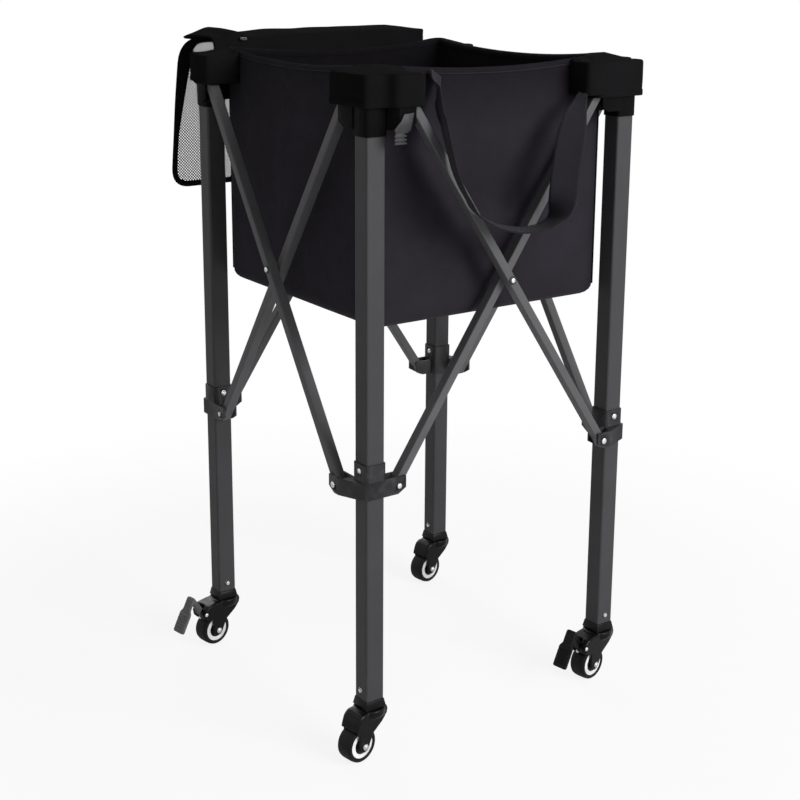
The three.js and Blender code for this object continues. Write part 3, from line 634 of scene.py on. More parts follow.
def cloth(name, colour, pitch, sheen=0.04, specular=0.04, roughness=0.85, crease=0.0006,
          inside_shade=1.0):
    """Coated polyester: a plain weave, soft creases, faint lighter patches and sheen. When the last
    setting is below 1, painted shade darkens the side that faces the bag's middle, and the cloth
    near the rim.
    """
    finish = Finish(name, colour, roughness, 0.0, specular)
    place = finish.place()
    weave = thread_height(finish, finish.flat_place(), pitch, pitch)
    broad = finish.math("ADD", finish.spread(finish.noise(place, 0.3, 1.0), 0, 0.6),
                        finish.spread(finish.noise(place, 0.07), 0, 0.4))
    patches = finish.mix_colour(broad, finish.shade(0.72), finish.shade(1.4))
    woven = finish.mix_colour(finish.math("MULTIPLY", weave, 0.3), patches, finish.shade(1.7))
    if inside_shade < 1:
        # Painted shade: the cloth near the rim is darkened, where the hoods and the lid shade it.
        rim_shaded = finish.mix_colour(painted_rim_shade(finish, place), woven, finish.shade(0.62))
        # Painted shade: the side of the cloth that faces the bag's middle is darkened, as the bag
        # shades its own inside.
        woven = finish.mix_colour(facing_the_middle(finish, place), rim_shaded, finish.shade(inside_shade))
    finish.use_colour(woven)
    finish.set_sheen(sheen, 0.45)
    finish.vary_roughness(place, 0.02, roughness - 0.08, roughness + 0.08)
    finish.raise_by(finish.noise(place, 0.035, 3.0), crease * 2)
    finish.raise_by(finish.noise(place, 0.006, 3.0), crease * 0.25)
    finish.raise_by(weave, pitch * 0.12)
    return finish.material


def webbing_cloth(name, colour, pitch):
    """Flat woven strap: ribs across its width and a chain of threads along it."""
    finish = Finish(name, colour, 0.8, 0.0, 0.08)
    place = finish.place()
    ribs = thread_height(finish, finish.flat_place(), pitch * 1.6, pitch)
    finish.use_colour(finish.mix_colour(ribs, finish.shade(0.7), finish.shade(1.5)))
    finish.set_sheen(0.08, 0.4)
    finish.vary_roughness(place, 0.01, 0.72, 0.88)
    finish.raise_by(ribs, 0.0003)
    return finish.material


FINISHES = {}


def finish_named(name):
    """The object's finishes, each made once from the colours in the sidebar."""
    if name in FINISHES:
        return FINISHES[name]
    colours = bpy.context.scene.ball_cart_colours
    pitch = bpy.context.scene.ball_cart_sizes.weave_pitch
    maker, *settings = {
        "leg_steel": (powder_coat, colours.leg_steel),
        "bar_steel": (powder_coat, colours.bar_steel),
        "moulding": (moulded_plastic, colours.moulding),
        "shaded_bracket_moulding": (moulded_plastic, colours.bracket, 0.5, 0.04),
        "caster_moulding": (moulded_plastic, colours.caster, 0.26, 0.14),
        "pedal_grey": (moulded_plastic, colours.pedal_grey),
        "pedal_black": (moulded_plastic, colours.caster, 0.35, 0.12),
        "zinc": (bright_metal, colours.zinc),
        "wheel_plastic": (moulded_plastic, colours.wheel, 0.35),
        "tyre_rubber": (rubber, colours.tyre),
        # The bag cloth's last number is the painted shade on the side facing the bag's middle.
        "bag_cloth": (cloth, colours.bag, pitch, 0.04, 0.04, 0.85, 0.0006, 0.3),
        "hood_cloth": (cloth, colours.hood, pitch, 0.01, 0.0),
        "binding_cloth": (cloth, colours.hood, pitch, 0.01, 0.0),
        "net_cord": (cloth, colours.net, pitch, 0.1, 0.2, 0.8, 0.0001),
        "webbing": (webbing_cloth, colours.webbing, pitch),
        "thread": (cloth, colours.thread, pitch, 0.1, 0.1, 0.8, 0.0001),
    }[name]
    FINISHES[name] = maker(name, *settings)
    return FINISHES[name]


# Sizes and colours that a user would change

def size(label, default, description):
    """A length in millimetres, kept in metres for the sidebar."""
    return bpy.props.FloatProperty(name=label, description=description, default=default * MM,
                                   min=0.0, unit="LENGTH", precision=4)


def chosen(name):
    """A size from the sidebar, in millimetres."""
    return getattr(bpy.context.scene.ball_cart_sizes, name) / MM


def colour(label, default, description):
    return bpy.props.FloatVectorProperty(name=label, description=description, default=default,
                                         min=0.0, max=1.0, subtype="COLOR", size=3)


class BallCartSizes(bpy.types.PropertyGroup):
    edge_rounding: size("Edge rounding", 0.6, "Radius on the edges of moulded parts")
    wall_billow: size("Wall billow", 5, "How far the middle of a bag wall stands proud")
    cloth_thickness: size("Cloth thickness", 1.4, "Thickness of the bag's cloth")
    hem_height: size("Hem height", 8, "Height of the turned hem along the rim")
    weave_pitch: size("Weave pitch", 0.7, "Distance between two threads of the cloth")
    net_pitch: size("Net pitch", 3.2, "Distance between two cords of the lid's net")
    net_cord: size("Net cord", 1.4, "Width of the cords of the lid's net")


class BallCartColours(bpy.types.PropertyGroup):
    leg_steel: colour("Leg paint", srgb(61, 60, 62), "Paint of the four legs")
    bar_steel: colour("Bar paint", srgb(84, 84, 86), "Paint of the scissor bars")
    moulding: colour("Mouldings", srgb(42, 42, 44), "Sliders, plugs and pins' washers")
    # Painted shade: the top brackets are coloured darker than the other mouldings, for the shade
    # under the hoods.
    bracket: colour("Top brackets", srgb(9, 9, 10), "Brackets under the corner hoods")
    caster: colour("Caster mouldings", srgb(12, 12, 13), "Caster forks and foot plugs")
    pedal_grey: colour("Grey pedal", srgb(88, 88, 90), "Brake pedal on the left leg")
    zinc: colour("Zinc", (0.75, 0.75, 0.77), "Rivets, pins, nuts and snap buttons")
    wheel: colour("Wheel", srgb(226, 226, 228), "Wheel cores")
    tyre: colour("Tyre", srgb(14, 14, 15), "Tyres")
    bag: colour("Bag cloth", srgb(37, 34, 40), "Hopper bag")
    hood: colour("Hood cloth", srgb(20, 20, 21), "Corner hoods and bindings")
    net: colour("Net", srgb(70, 70, 71), "Lid net")
    webbing: colour("Webbing", srgb(38, 36, 42), "Carrying strap")
    thread: colour("Thread", srgb(48, 47, 52), "Stitching")


# Stage

class BallCartStage(bpy.types.Operator):
    """Add the floor, the light and the camera"""
    bl_idname = "ball_cart.add_stage"
    bl_label = "Stage"

    def execute(self, context):
        make_floor()
        make_world()
        make_lamps()
        make_camera()
        return {"FINISHED"}


def make_floor():
    """A pale floor that takes the cart's shadow near it and turns plain white further out."""
    half = 8.0
    shadow_reach, white_from, glow_at_the_cart = 0.5, 1.3, 0.86
    mesh = bpy.data.meshes.new("floor")
    corners = [(-half, -half, 0), (half, -half, 0), (half, half, 0), (-half, half, 0)]
    mesh.from_pydata(corners, [], [(0, 1, 2, 3)])
    floor = bpy.data.objects.new("floor", mesh)
    bpy.context.scene.collection.objects.link(floor)
    paper = Finish("floor_paper", (0.88, 0.88, 0.88), 0.9, 0.0, 0.0)
    away = paper.vector_math("LENGTH", paper.place()).outputs["Value"]
    fade = paper.spread(away, glow_at_the_cart, 1, shadow_reach, white_from, "SMOOTHSTEP")
    seen = paper.add("ShaderNodeLightPath").outputs["Is Camera Ray"]
    glow = paper.add("ShaderNodeEmission")
    mix = paper.add("ShaderNodeMixShader")
    for index, source in enumerate((paper.math("MULTIPLY", seen, fade),
                                    paper.shader.outputs[0], glow.outputs[0])):
        paper.join(source, mix.inputs[index])
    paper.join(mix.outputs[0], paper.tree.nodes["Material Output"].inputs["Surface"])
    mesh.materials.append(paper.material)


def make_world():
    """A white surround to the camera and in reflections, and a dimmer one as light."""
    light_level = 0.3
    world = bpy.data.worlds.new("studio")
    bpy.context.scene.world = world
    world.use_nodes = True
    tree = world.node_tree
    background = tree.nodes["Background"]
    background.inputs["Color"].default_value = (1, 1, 1, 1)
    rays = tree.nodes.new("ShaderNodeLightPath")
    seen = rays.outputs["Is Camera Ray"]
    for kind in ("Is Glossy Ray", "Is Transmission Ray"):
        either = tree.nodes.new("ShaderNodeMath")
        either.operation = "MAXIMUM"
        tree.links.new(seen, either.inputs[0])
        tree.links.new(rays.outputs[kind], either.inputs[1])
        seen = either.outputs[0]
    level = tree.nodes.new("ShaderNodeMapRange")
    level.inputs["To Min"].default_value = light_level
    level.inputs["To Max"].default_value = 1.0
    tree.links.new(seen, level.inputs["Value"])
    tree.links.new(level.outputs["Result"], background.inputs["Strength"])


def make_lamps():
    """A broad key from the right and a weak fill from behind."""
    target = Vector((0, 0, 0.55))
    for name, place, power, width in (
            ("key", (1.1, -3.3, 2.0), 125, 2.0),
            ("back", (0.6, 3.2, 2.2), 30, 1.8)):
        lamp = bpy.data.lights.new(name, "AREA")
        lamp.energy = power
        lamp.size = width
        holder = bpy.data.objects.new(name, lamp)
        holder.location = place
        holder.rotation_euler = (target - Vector(place)).to_track_quat("-Z", "Y").to_euler()
        bpy.context.scene.collection.objects.link(holder)


def make_camera():
    """The photograph's view: from the front corner, a little above the rim."""
    # Place from the front leg's middle on the floor, in metres, and angles in radians
    stand = Vector((-0.98919, -1.47554, 1.06381))
    heading, dip, roll = 0.597, 0.24132, 0.0023
    focal_pixels, picture_width, sensor = 1457.55, 800, 36
    camera = bpy.data.cameras.new("camera")
    camera.sensor_width = sensor
    camera.lens = sensor * (focal_pixels / picture_width)
    camera.shift_x = 0.02644
    camera.shift_y = -0.12
    ahead = Vector((math.sin(heading) * math.cos(dip), math.cos(heading) * math.cos(dip),
                    -math.sin(dip)))
    right = Vector((math.cos(heading), -math.sin(heading), 0))
    up = right.cross(ahead)
    turned_right = math.cos(roll) * right + math.sin(roll) * up
    turned_up = math.cos(roll) * up - math.sin(roll) * right
    holder = bpy.data.objects.new("camera", camera)
    axes = Matrix((turned_right, turned_up, -ahead)).transposed().to_4x4()
    front_leg = Vector(((cart_x - leg_half) * MM, (cart_y - leg_half) * MM, 0))
    holder.matrix_world = Matrix.Translation(front_leg + stand) @ axes
    bpy.context.scene.collection.objects.link(holder)
    bpy.context.scene.camera = holder


# Legs

class BallCartLegs(bpy.types.Operator):
    """Add the four leg tubes and the plugs in their feet"""
    bl_idname = "ball_cart.add_legs"
    bl_label = "Legs"

    def execute(self, context):
        for quarter, name in enumerate(LEGS):
            make_leg(quarter, name)
            make_foot_plug(quarter, name)
        return {"FINISHED"}


def make_leg(quarter, name):
    corner = 3
    shape = bmesh.new()
    long_tube(shape, tube_half, tube_half, corner, tube_bottom, tube_top)
    leg = make_piece(f"leg_tube_{name}", shape, at_leg(quarter), "leg_steel")
    stands_for(leg, f"leg_{name}", "leg_steel")


def make_foot_plug(quarter, name):
    plug = rounded_copy(f"foot_plug_{name}", f"foot_block_{name}", "caster_moulding",
                        chosen("edge_rounding"))
    stands_for(plug, f"foot_plug_{name}", "bracket_plastic")
    bolt_height, head, rise = tube_bottom + 12.6, 4.2, 2.0
    shape = bmesh.new()
    dome_pair(shape, "x", 0, bolt_height, tube_half + 0.3, head, rise)
    goes_with(make_piece(f"foot_bolt_{name}", shape, at_leg(quarter), "zinc"),
              f"{name}_leg_body")


# Mouldings on the legs

class BallCartMouldings(bpy.types.Operator):
    """Add the top brackets, the sliders and the snap buttons with their pins"""
    bl_idname = "ball_cart.add_mouldings"
    bl_label = "Mouldings"

    def execute(self, context):
        edge = chosen("edge_rounding")
        kinds = (("top_bracket", "bracket", "shaded_bracket_moulding", edge, "bracket_plastic"),
                 ("slider", "sliding_bracket", "moulding", edge, "bracket_plastic"),
                 ("snap_button", "spring_button", "zinc", edge / 2, "button_steel"))
        for quarter, name in enumerate(LEGS):
            for node, word, finish, rounding, slot in kinds:
                piece = rounded_copy(f"{node}_{name}", f"{word}_{name}", finish, rounding)
                stands_for(piece, f"{node}_{name}", slot)
            make_ear_pins(quarter, name)
        make_lit_ear_plate()
        return {"FINISHED"}


def make_lit_ear_plate():
    """A grey ribbed plate on the front bracket's ear, below its pin: painted light, its paler grey
    standing for the lit face of the ear.
    """
    plate = [(26, 866), (41, 867), (36, 846), (31, 843), (14, 843), (12, 848), (22, 858)]
    front, back, rib_half = -36, -33.8, 1.1
    shape = bmesh.new()
    prism(shape, plate, "y", front, back, 0.5)
    for z in (839.5, 835, 830.5):
        prism(shape, rectangle(12, 30, z - rib_half, z + rib_half), "y", front, back, 0.4)
    prism(shape, rectangle(14, 28, 829, 845), "y", front + 1.4, back + 1, 0.4)
    goes_with(make_piece("lit_ear_plate", shape, at_leg(0), "moulding"),
              "front_leg_body")


def make_ear_pins(quarter, name):
    """Bright pin heads on the outer ears of a bracket and its slider, both ways from the leg."""
    head, rise = 4.3, 2.0
    near_face, far_face = -17, -34
    for height, y_face, x_face, body, word in (
            (top_pivot, far_face, near_face, f"{name}_leg_body", "bracket"),
            (SLIDER_PIVOT, near_face, far_face, f"{name}_slider_body", "slider")):
        shape = bmesh.new()
        dome(shape, "y", -1, (PIVOT_OUT, y_face, height), head, rise)
        dome(shape, "x", -1, (x_face, PIVOT_OUT, height), head, rise)
        pins = make_piece(f"{word}_pin_heads_{name}", shape, at_leg(quarter), "zinc")
        goes_with(pins, body)


# Scissor bars

class BallCartBars(bpy.types.Operator):
    """Add the eight scissor bars and the rivets they turn on"""
    bl_idname = "ball_cart.add_bars"
    bl_label = "Scissor bars"

    def execute(self, context):
        for quarter, name in enumerate(SIDES):
            make_bar(quarter, name, "outer", -1, 15)
            make_bar(quarter, name, "inner", 1, -2)
            make_rivet(quarter, name)
        return {"FINISHED"}


def bar_lean():
    return math.atan2(pivot_span, pivot_rise)


def bar_middle(outward):
    """Where a bar's middle is: halfway along its side and halfway between its two pivots."""
    return Vector((leg_half, -outward, (top_pivot + SLIDER_PIVOT) / 2))


def make_bar(quarter, name, word, lean_sign, outward):
    width, depth, corner, overhang = 12, 15, 1.5, 10
    reach = math.hypot(pivot_span, pivot_rise) / 2 + overhang
    shape = bmesh.new()
    long_tube(shape, width / 2, depth / 2, corner, -reach, reach)
    lean = Matrix.Rotation(lean_sign * bar_lean(), 4, "Y")
    place = at_leg(quarter) @ Matrix.Translation(bar_middle(outward + depth / 2)) @ lean
    bar = make_piece(f"{word}_bar_tube_{name}", shape, place, "bar_steel")
    stands_for(bar, f"{word}_bar_{name}", "bar_steel")


def make_rivet(quarter, name):
    """A dark washer on the outer bar where the two bars cross, with a bright rivet head on it."""
    outer_face = 30
    middle = bar_middle(outer_face)
    for word, out, radius, rise, steps, finish, slot in (
            ("washer", 0, 6, 1.4, 28, "moulding", "bracket_plastic"),
            ("rivet", 1.2, 3.4, 1.6, 20, "zinc", "button_steel")):
        shape = bmesh.new()
        dome(shape, "y", -1, middle - Vector((0, out, 0)), radius, rise, steps)
        goes_with(make_piece(f"crossing_{word}_{name}", shape, at_leg(quarter), finish),
                  f"{name}_outer_body")


# Casters

class BallCartCasters(bpy.types.Operator):
    """Add the four casters, and the brake pedals on the left and the right leg"""
    bl_idname = "ball_cart.add_casters"
    bl_label = "Casters"

    def execute(self, context):
        for name in LEGS:
            make_caster(name)
        for name in BRAKED:
            make_pedal(name)
        return {"FINISHED"}


def caster_place(name):
    """The wheel's middle and the way it rolls, read from the frame's wheel and leg."""
    middle, leg_middle = (sum(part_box(node), Vector()) / 2 / MM
                          for node in (f"tyre_{name}", f"leg_{name}"))
    away = middle - leg_middle
    turn = Matrix.Rotation(math.atan2(away.y, away.x), 4, "Z")
    return in_frame() @ Matrix.Translation(middle) @ turn


# The caster's drawing: x from the swivel's axis along the way it rolls, z from the floor
CASTER_TRAIL = 24
WHEEL_RADIUS = 25
PEDAL_PIVOT = Vector((46, 57))


def fork_place(name):
    return caster_place(name) @ Matrix.Translation((-CASTER_TRAIL, 0, -WHEEL_RADIUS))


def fork_outer_line(braked, inset):
    """The hood's outer line, from over the wheel's front edge up and back to behind the swivel."""
    tail = [(46, 46), (49.5, 50), (50.5, 57), (48, 63), (41, 68.5)] if braked else [
        (38.5, 48.5), (38, 52), (36, 59), (34.5, 63), (31, 67.5)]
    back = [(26, 70.5), (0, 71), (-19, 70), (-20.5, 66), (-19.5, 60), (-10.7, 49.6)]
    middle = Vector((16, 56))
    line = [Vector(point) for point in tail + back]
    return [point + (middle - point).normalized() * inset for point in line]


def make_fork(name):
    """A glossy hood over the wheel with a cheek on each side, and a cup under the leg's plug."""
    braked = name in BRAKED
    axle = (CASTER_TRAIL, WHEEL_RADIUS)
    cheek, slot, half_width = 13.4, 5.6, 16.2
    shape = bmesh.new()
    cup = [(0, 58), (17, 58), (20.5, 60), (21.8, 63), (21.8, 70), (20.8, 71.4), (5, 71.4), (5, 88),
           (0, 88)]
    lathe(shape, cup, "z", (0, 0, 0), 48)
    under_hood = [(2.9, 42.7)] + arc(axle, 27.5, 138, 52 if braked else 60, 16)
    for half, inset in ((half_width, 2.6), (15.3, 1.2), (14.2, 0.4), (11.5, 0)):
        outer = fork_outer_line(braked, inset)
        if half > cheek:
            under_cheek = [(7.6, 38.7)] + arc(axle, 10 - inset * 0.5, 215, 370, 16) + [(33, 44)]
            plate_pair(shape, outer + under_cheek, cheek, half)
        if braked:
            plate_pair(shape, outer + under_hood, slot, half)
        else:
            prism(shape, outer + under_hood, "y", -half, half)
    if braked:
        lip = [(46, 46), (49, 51), (40.5, 51), (40.5, 68.6)]
        behind_lip = fork_outer_line(True, 0)[5:]
        prism(shape, lip + behind_lip + under_hood, "y", -slot - 0.2, slot + 0.2)
    fork = make_piece(f"fork_{name}", shape, fork_place(name), "caster_moulding")
    stands_for(moulded(fork), f"caster_fork_{name}", "fork_plastic")
    make_axle(name, half_width)


def make_axle(name, half_width):
    """The wheel's axle with a nut and a domed end on each side, and a braked fork's screw."""
    metal = bmesh.new()
    rod = [(0, -half_width), (3, -half_width), (3, half_width), (0, half_width)]
    lathe(metal, rod, "y", (CASTER_TRAIL, 0, WHEEL_RADIUS), 20)
    sunk, nut_out = 0.2, half_width + 2.7
    nut = arc((CASTER_TRAIL, WHEEL_RADIUS), 4.8, 0, 300, 5)
    plate_pair(metal, nut, half_width - sunk, nut_out, 0.4)
    dome_pair(metal, "y", CASTER_TRAIL, WHEEL_RADIUS, nut_out - sunk, 2.6, 1.6)
    if name in BRAKED:
        dome(metal, "x", 1, (46.8, 0, 48.6), 2.6, 1.8)
    goes_with(make_piece(f"axle_nuts_{name}", metal, fork_place(name), "zinc"),
              f"{name}_caster_body")


def make_caster(name):
    make_fork(name)
    place = caster_place(name)
    rim, face, recess = 18.3, 11.2, 10

    half_core = [(3.4, recess), (11.8, recess), (12.5, face), (rim, face)]
    core = bmesh.new()
    lathe(core, mirrored(half_core), "y", (0, 0, 0), 56)
    wheel = make_piece(f"wheel_{name}", core, place, "wheel_plastic")
    stands_for(wheel, f"wheel_core_{name}", "wheel_plastic")

    cover = bmesh.new()
    profile = [(3.6, 9.6), (12.2, 9.6), (12.2, 11.4), (10.8, 12.2), (6.5, 12.8), (3.6, 12.8)]
    for sign in (-1, 1):
        lathe(cover, [(radius, sign * along) for radius, along in profile], "y", (0, 0, 0), 40)
    goes_with(make_piece(f"hub_cover_{name}", cover, place, "caster_moulding"),
              body_holding(f"wheel_core_{name}"))

    half_tread = [(rim + 0.1, 11), (20.5, 12.5), (22.5, 12.5), (24.1, 10.8), (24.8, 7.6),
                  (WHEEL_RADIUS, 3.8)]
    tread = bmesh.new()
    lathe(tread, mirrored(half_tread), "y", (0, 0, 0), 64)
    stands_for(make_piece(f"tyre_ring_{name}", tread, place, "tyre_rubber"),
               f"tyre_{name}", "tyre_rubber")


def mirrored(half_profile):
    """A closed profile from its half on one side of the wheel's middle plane."""
    return [(radius, -along) for radius, along in half_profile] + half_profile[::-1]


def make_pedal(name):
    """A brake lever: a neck up out of the fork's slot, a crest and a ribbed blade to its tip."""
    finish = "pedal_grey" if name == "left" else "pedal_black"
    crest, tip = Vector((63, 85)), Vector((89, 37))
    length = (tip - crest).length
    run = (tip - crest) / length
    neck_half, pin_radius, pin_face = 5, 3, 15.6
    shape = bmesh.new()
    prism(shape, arc(PEDAL_PIVOT, 5, 0, 345, 23), "y", -neck_half, neck_half)
    neck = [(42, 59.5), (57.8, 82.5), (60.5, 86.4), (64.5, 87.5), (67.8, 84.8), (66.5, 79),
            (61, 76.5), (50, 54.5)]
    prism(shape, neck, "y", -neck_half, neck_half)
    before = len(shape.verts)

    # The blade is drawn flat, x across it and y from the crest to the tip, and then stood up
    step, slim, wide = length * 0.38, 7.5, 11.5
    blade = [(-slim, -2), (slim, -2), (slim, step - 2), (wide, step + 2), (wide, length),
             (-wide, length), (-wide, step + 2), (-slim, step - 2)]
    prism(shape, rounded_loop([Vector(point) for point in blade], 3.5), "z", -2.25, 2.25)
    rib_long, rib_half, rib_pitch, rib_top = 9.3, 1, 4.6, 3.4
    for rib in range(6):
        along = step + 5.5 + rib * rib_pitch
        prism(shape, rectangle(-rib_long, rib_long, along - rib_half, along + rib_half), "z",
              1.5, rib_top)
    shape.verts.ensure_lookup_table()
    stand = Matrix(((0, run.x, -run.y, crest.x), (1, 0, 0, 0), (0, run.y, run.x, crest.y),
                    (0, 0, 0, 1)))
    bmesh.ops.transform(shape, matrix=stand, verts=shape.verts[before:])
    pedal = make_piece(f"pedal_{name}", shape, fork_place(name), finish)
    stands_for(moulded(pedal, 0.55, 3), f"brake_pedal_{name}", finish)
    pins = bmesh.new()
    dome_pair(pins, "y", PEDAL_PIVOT.x, PEDAL_PIVOT.y, pin_face, pin_radius, 1.7)
    goes_with(make_piece(f"pedal_pin_heads_{name}", pins, fork_place(name), "zinc"),
              f"{name}_pedal_body")


# Hopper bag

class BallCartBag(bpy.types.Operator):
    """Add the hopper bag: its four walls, corner seams, hems and floor"""
    bl_idname = "ball_cart.add_bag"
    bl_label = "Hopper bag"

    def execute(self, context):
        bodies = ("front_leg_body", "right_leg_body", "left_leg_body", "front_leg_body")
        for quarter, (name, body) in enumerate(zip(SIDES, bodies)):
            make_wall(quarter, name, body)
        for quarter, name in enumerate(LEGS):
            make_corner_seam(quarter, name)
        for name in ("left", "right"):
            make_floor_half(name)
        return {"FINISHED"}


# The bag's walls turn in a small arc at the corners and the bottom, and are tucked under the floor
CORNER_TURN = 8
BOTTOM_TURN = 16
BOTTOM_TUCK = 40
RIM_SAG = 11


def flatten_with_fold(piece, name):
    """Gives a wall, or what hangs on it, a mesh of its own."""
    low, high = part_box(name)
    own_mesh(piece)


def rim_height(share):
    """The rim hangs in a shallow curve between two legs."""
    return bag_rim - RIM_SAG * (1 - (2 * share - 1) ** 2)


def wall_point(share, climb, quarter, billow, inset=0.0):
    """A place on the wall: share goes from corner to corner, climb from its tuck to the rim."""
    half = bag_half - inset
    arc_length = CORNER_TURN * math.pi / 4
    straight = 2 * (half - CORNER_TURN)
    run = share * (straight + 2 * arc_length)
    x, inward = run - arc_length - straight / 2, 0.0
    turn = (abs(x) - straight / 2) / CORNER_TURN
    if turn > 0:
        x = math.copysign(half - CORNER_TURN * (1 - math.sin(turn)), x)
        inward = CORNER_TURN * (1 - math.cos(turn))
    bend = BOTTOM_TURN * math.pi / 2
    height = rim_height(share) - (bag_bottom + inset)
    total = BOTTOM_TUCK + bend + height - BOTTOM_TURN
    up = climb * total
    if up < BOTTOM_TUCK:
        z = bag_bottom + inset
        tuck = BOTTOM_TURN + BOTTOM_TUCK - up
    elif up < BOTTOM_TUCK + bend:
        turn = (up - BOTTOM_TUCK) / BOTTOM_TURN
        z = bag_bottom + inset + BOTTOM_TURN * (1 - math.cos(turn))
        tuck = BOTTOM_TURN * (1 - math.sin(turn))
    else:
        z = bag_bottom + inset + BOTTOM_TURN + up - BOTTOM_TUCK - bend
        tuck = 0.0
    x *= 1 - tuck / half * 0.9
    free = math.sin(math.pi * share)
    height_share = min(1.0, max(0.0, (z - bag_bottom) / (bag_rim - bag_bottom)))
    climb_free = math.sin(math.pi * height_share)
    place = Vector((x * 0.008, z * 0.006, quarter * 7.3))
    ripple = noise.noise(place) * 5 + noise.noise(place * 2.3) * 2
    out = free ** 0.7 * climb_free ** 0.6 * (billow + ripple)
    out += corner_folds(share, z, quarter) * free ** 0.3
    y = -(half - inward - tuck + out)
    return Vector((x, y, z))


def corner_folds(share, z, quarter):
    """Small tension folds that fan out of the two upper corners."""
    lift = 0.0
    for corner, phase in ((0.0, 0.3), (1.0, 1.7)):
        across = abs(share - corner) * 2 * bag_half
        down = bag_rim - z
        reach = math.hypot(across, down)
        lean = math.atan2(down, across + 1)
        fade = math.exp(-reach / 110) * min(1.0, reach / 25)
        lift += 1.6 * fade * math.sin(7 * lean + phase + quarter)
    return lift


def make_wall(quarter, name, body):
    billow = chosen("wall_billow")
    node = f"bag_wall_{name}"
    place = at_quarter(quarter)
    flat_width = 2 * bag_half * MM
    flat_height = (bag_rim - bag_bottom + BOTTOM_TUCK + BOTTOM_TURN * (math.pi / 2 - 1)) * MM
    columns, rows = 72, 76

    shape = bmesh.new()
    grid(shape, columns, rows, lambda s, t: wall_point(s, t, quarter, billow),
         lambda s, t: (s * flat_width, t * flat_height))
    wall = make_piece(f"wall_{name}", shape, place, "bag_cloth", 60, False)
    thicken(wall, chosen("cloth_thickness"))
    stands_for(wall, node, "bag_fabric")

    hem_height = chosen("hem_height")
    hem_low = 1 - hem_height / (flat_height / MM)
    hem_spans = 9

    def hem_point(s, t):
        """Around the turned hem from its outer low edge, over the rim and down inside."""
        top = wall_point(t, 1.0, quarter, billow)
        low = wall_point(t, hem_low, quarter, billow)
        out = Vector((0, -1, 0))
        if t < 0.05 or t > 0.95:
            out = Vector((top.x * 0.3, top.y, 0)).normalized()
        around = (low + out * 0.2, low + out * 1.1, low.lerp(top, 0.5) + out * 1.5,
                  top + out * 1.2, top + out * 0.2 + Vector((0, 0, 1.0)),
                  top - out * 1.6, top - out * 2.6 - Vector((0, 0, 1.5)),
                  low.lerp(top, 0.5) - out * 3.0, low - out * 2.6, low - out * 1.6)
        return around[round(s * hem_spans)]

    shape = bmesh.new()
    grid(shape, hem_spans, columns, hem_point,
         lambda s, t: (t * flat_width, s * hem_spans * hem_height * 0.2 * MM))
    hem = make_piece(f"hem_{name}", shape, place, "bag_cloth", 60, False)
    goes_with(hem, body)

    shape = bmesh.new()
    stitch, gap, thread_half = 2.6, 1.4, 0.35
    count = int(2 * bag_half / (stitch + gap))
    for i in range(2, count - 2):
        centre = (wall_point((i + 0.5) / count, hem_low + 0.004, quarter, billow)
                  + Vector((0, -1.5, 0)))
        prism(shape, rectangle(centre.x - stitch / 2, centre.x + stitch / 2,
                               centre.z - thread_half, centre.z + thread_half),
              "y", centre.y - 0.4, centre.y + 0.5)
    stitches = make_piece(f"hem_stitches_{name}", shape, place, "thread")
    goes_with(stitches, body)
    for piece in (wall, hem, stitches):
        flatten_with_fold(piece, node)


def make_corner_seam(quarter, name):
    """Piping along a corner of the bag, where two walls are sewn together."""
    corner = bag_half - CORNER_TURN * (1 - math.sqrt(0.5))
    low, steps = bag_bottom + BOTTOM_TURN, 30
    path = [Vector((-corner, -corner, low + (bag_rim - low) * step / steps))
            for step in range(steps + 1)]
    shape = bmesh.new()
    tube_along(shape, path, 1.8, 10)
    seam = make_piece(f"corner_seam_{name}", shape, at_quarter(quarter), "binding_cloth", 60)
    goes_with(seam, f"{name}_leg_body")


def make_floor_half(name):
    """Half of the stiffened floor: flat on the tucked walls, with its two outer corners rounded."""
    low, high = (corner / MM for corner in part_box(f"bag_floor_{name}"))
    inset, corner, crease, crease_half, most_sag, under_top = 11, 40, 1.5, 8, 2, 0.6
    outer = low.x + inset if name == "left" else high.x - inset
    inner = high.x if name == "left" else low.x
    half_length = (high.y - low.y) / 2 - inset
    flat_width, flat_length = abs(inner - outer) * MM, 2 * half_length * MM

    def point(s, t):
        x = outer + (inner - outer) * s
        from_outer = abs(x - outer)
        cut = corner - math.sqrt(max(0, corner ** 2 - (corner - min(corner, from_outer)) ** 2))
        y = cart_y + (half_length - cut) * (2 * t - 1)
        sag = most_sag * math.sin(math.pi * t) * math.sin(math.pi * s)
        dip = crease * max(0, 1 - abs(x - inner) / crease_half)
        wave = noise.noise(Vector((x, y, 0)) * 0.02) * 0.8
        return Vector((x, y, high.z - under_top - sag - dip + wave))

    shape = bmesh.new()
    grid(shape, 36, 40, point, lambda s, t: (s * flat_width, t * flat_length))
    sheet = make_piece(f"floor_panel_{name}", shape, in_frame(), "bag_cloth", 60)
    thicken(sheet, high.z - low.z - 2 * under_top)
    stands_for(sheet, f"bag_floor_{name}", "bag_fabric")
    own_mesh(sheet)


# Corner hoods

class BallCartHoods(bpy.types.Operator):
    """Add the four fabric hoods over the leg tops"""
    bl_idname = "ball_cart.add_hoods"
    bl_label = "Corner hoods"

    def execute(self, context):
        for quarter, name in enumerate(LEGS):
            make_hood(quarter, name)
        make_hood_flap()
        return {"FINISHED"}


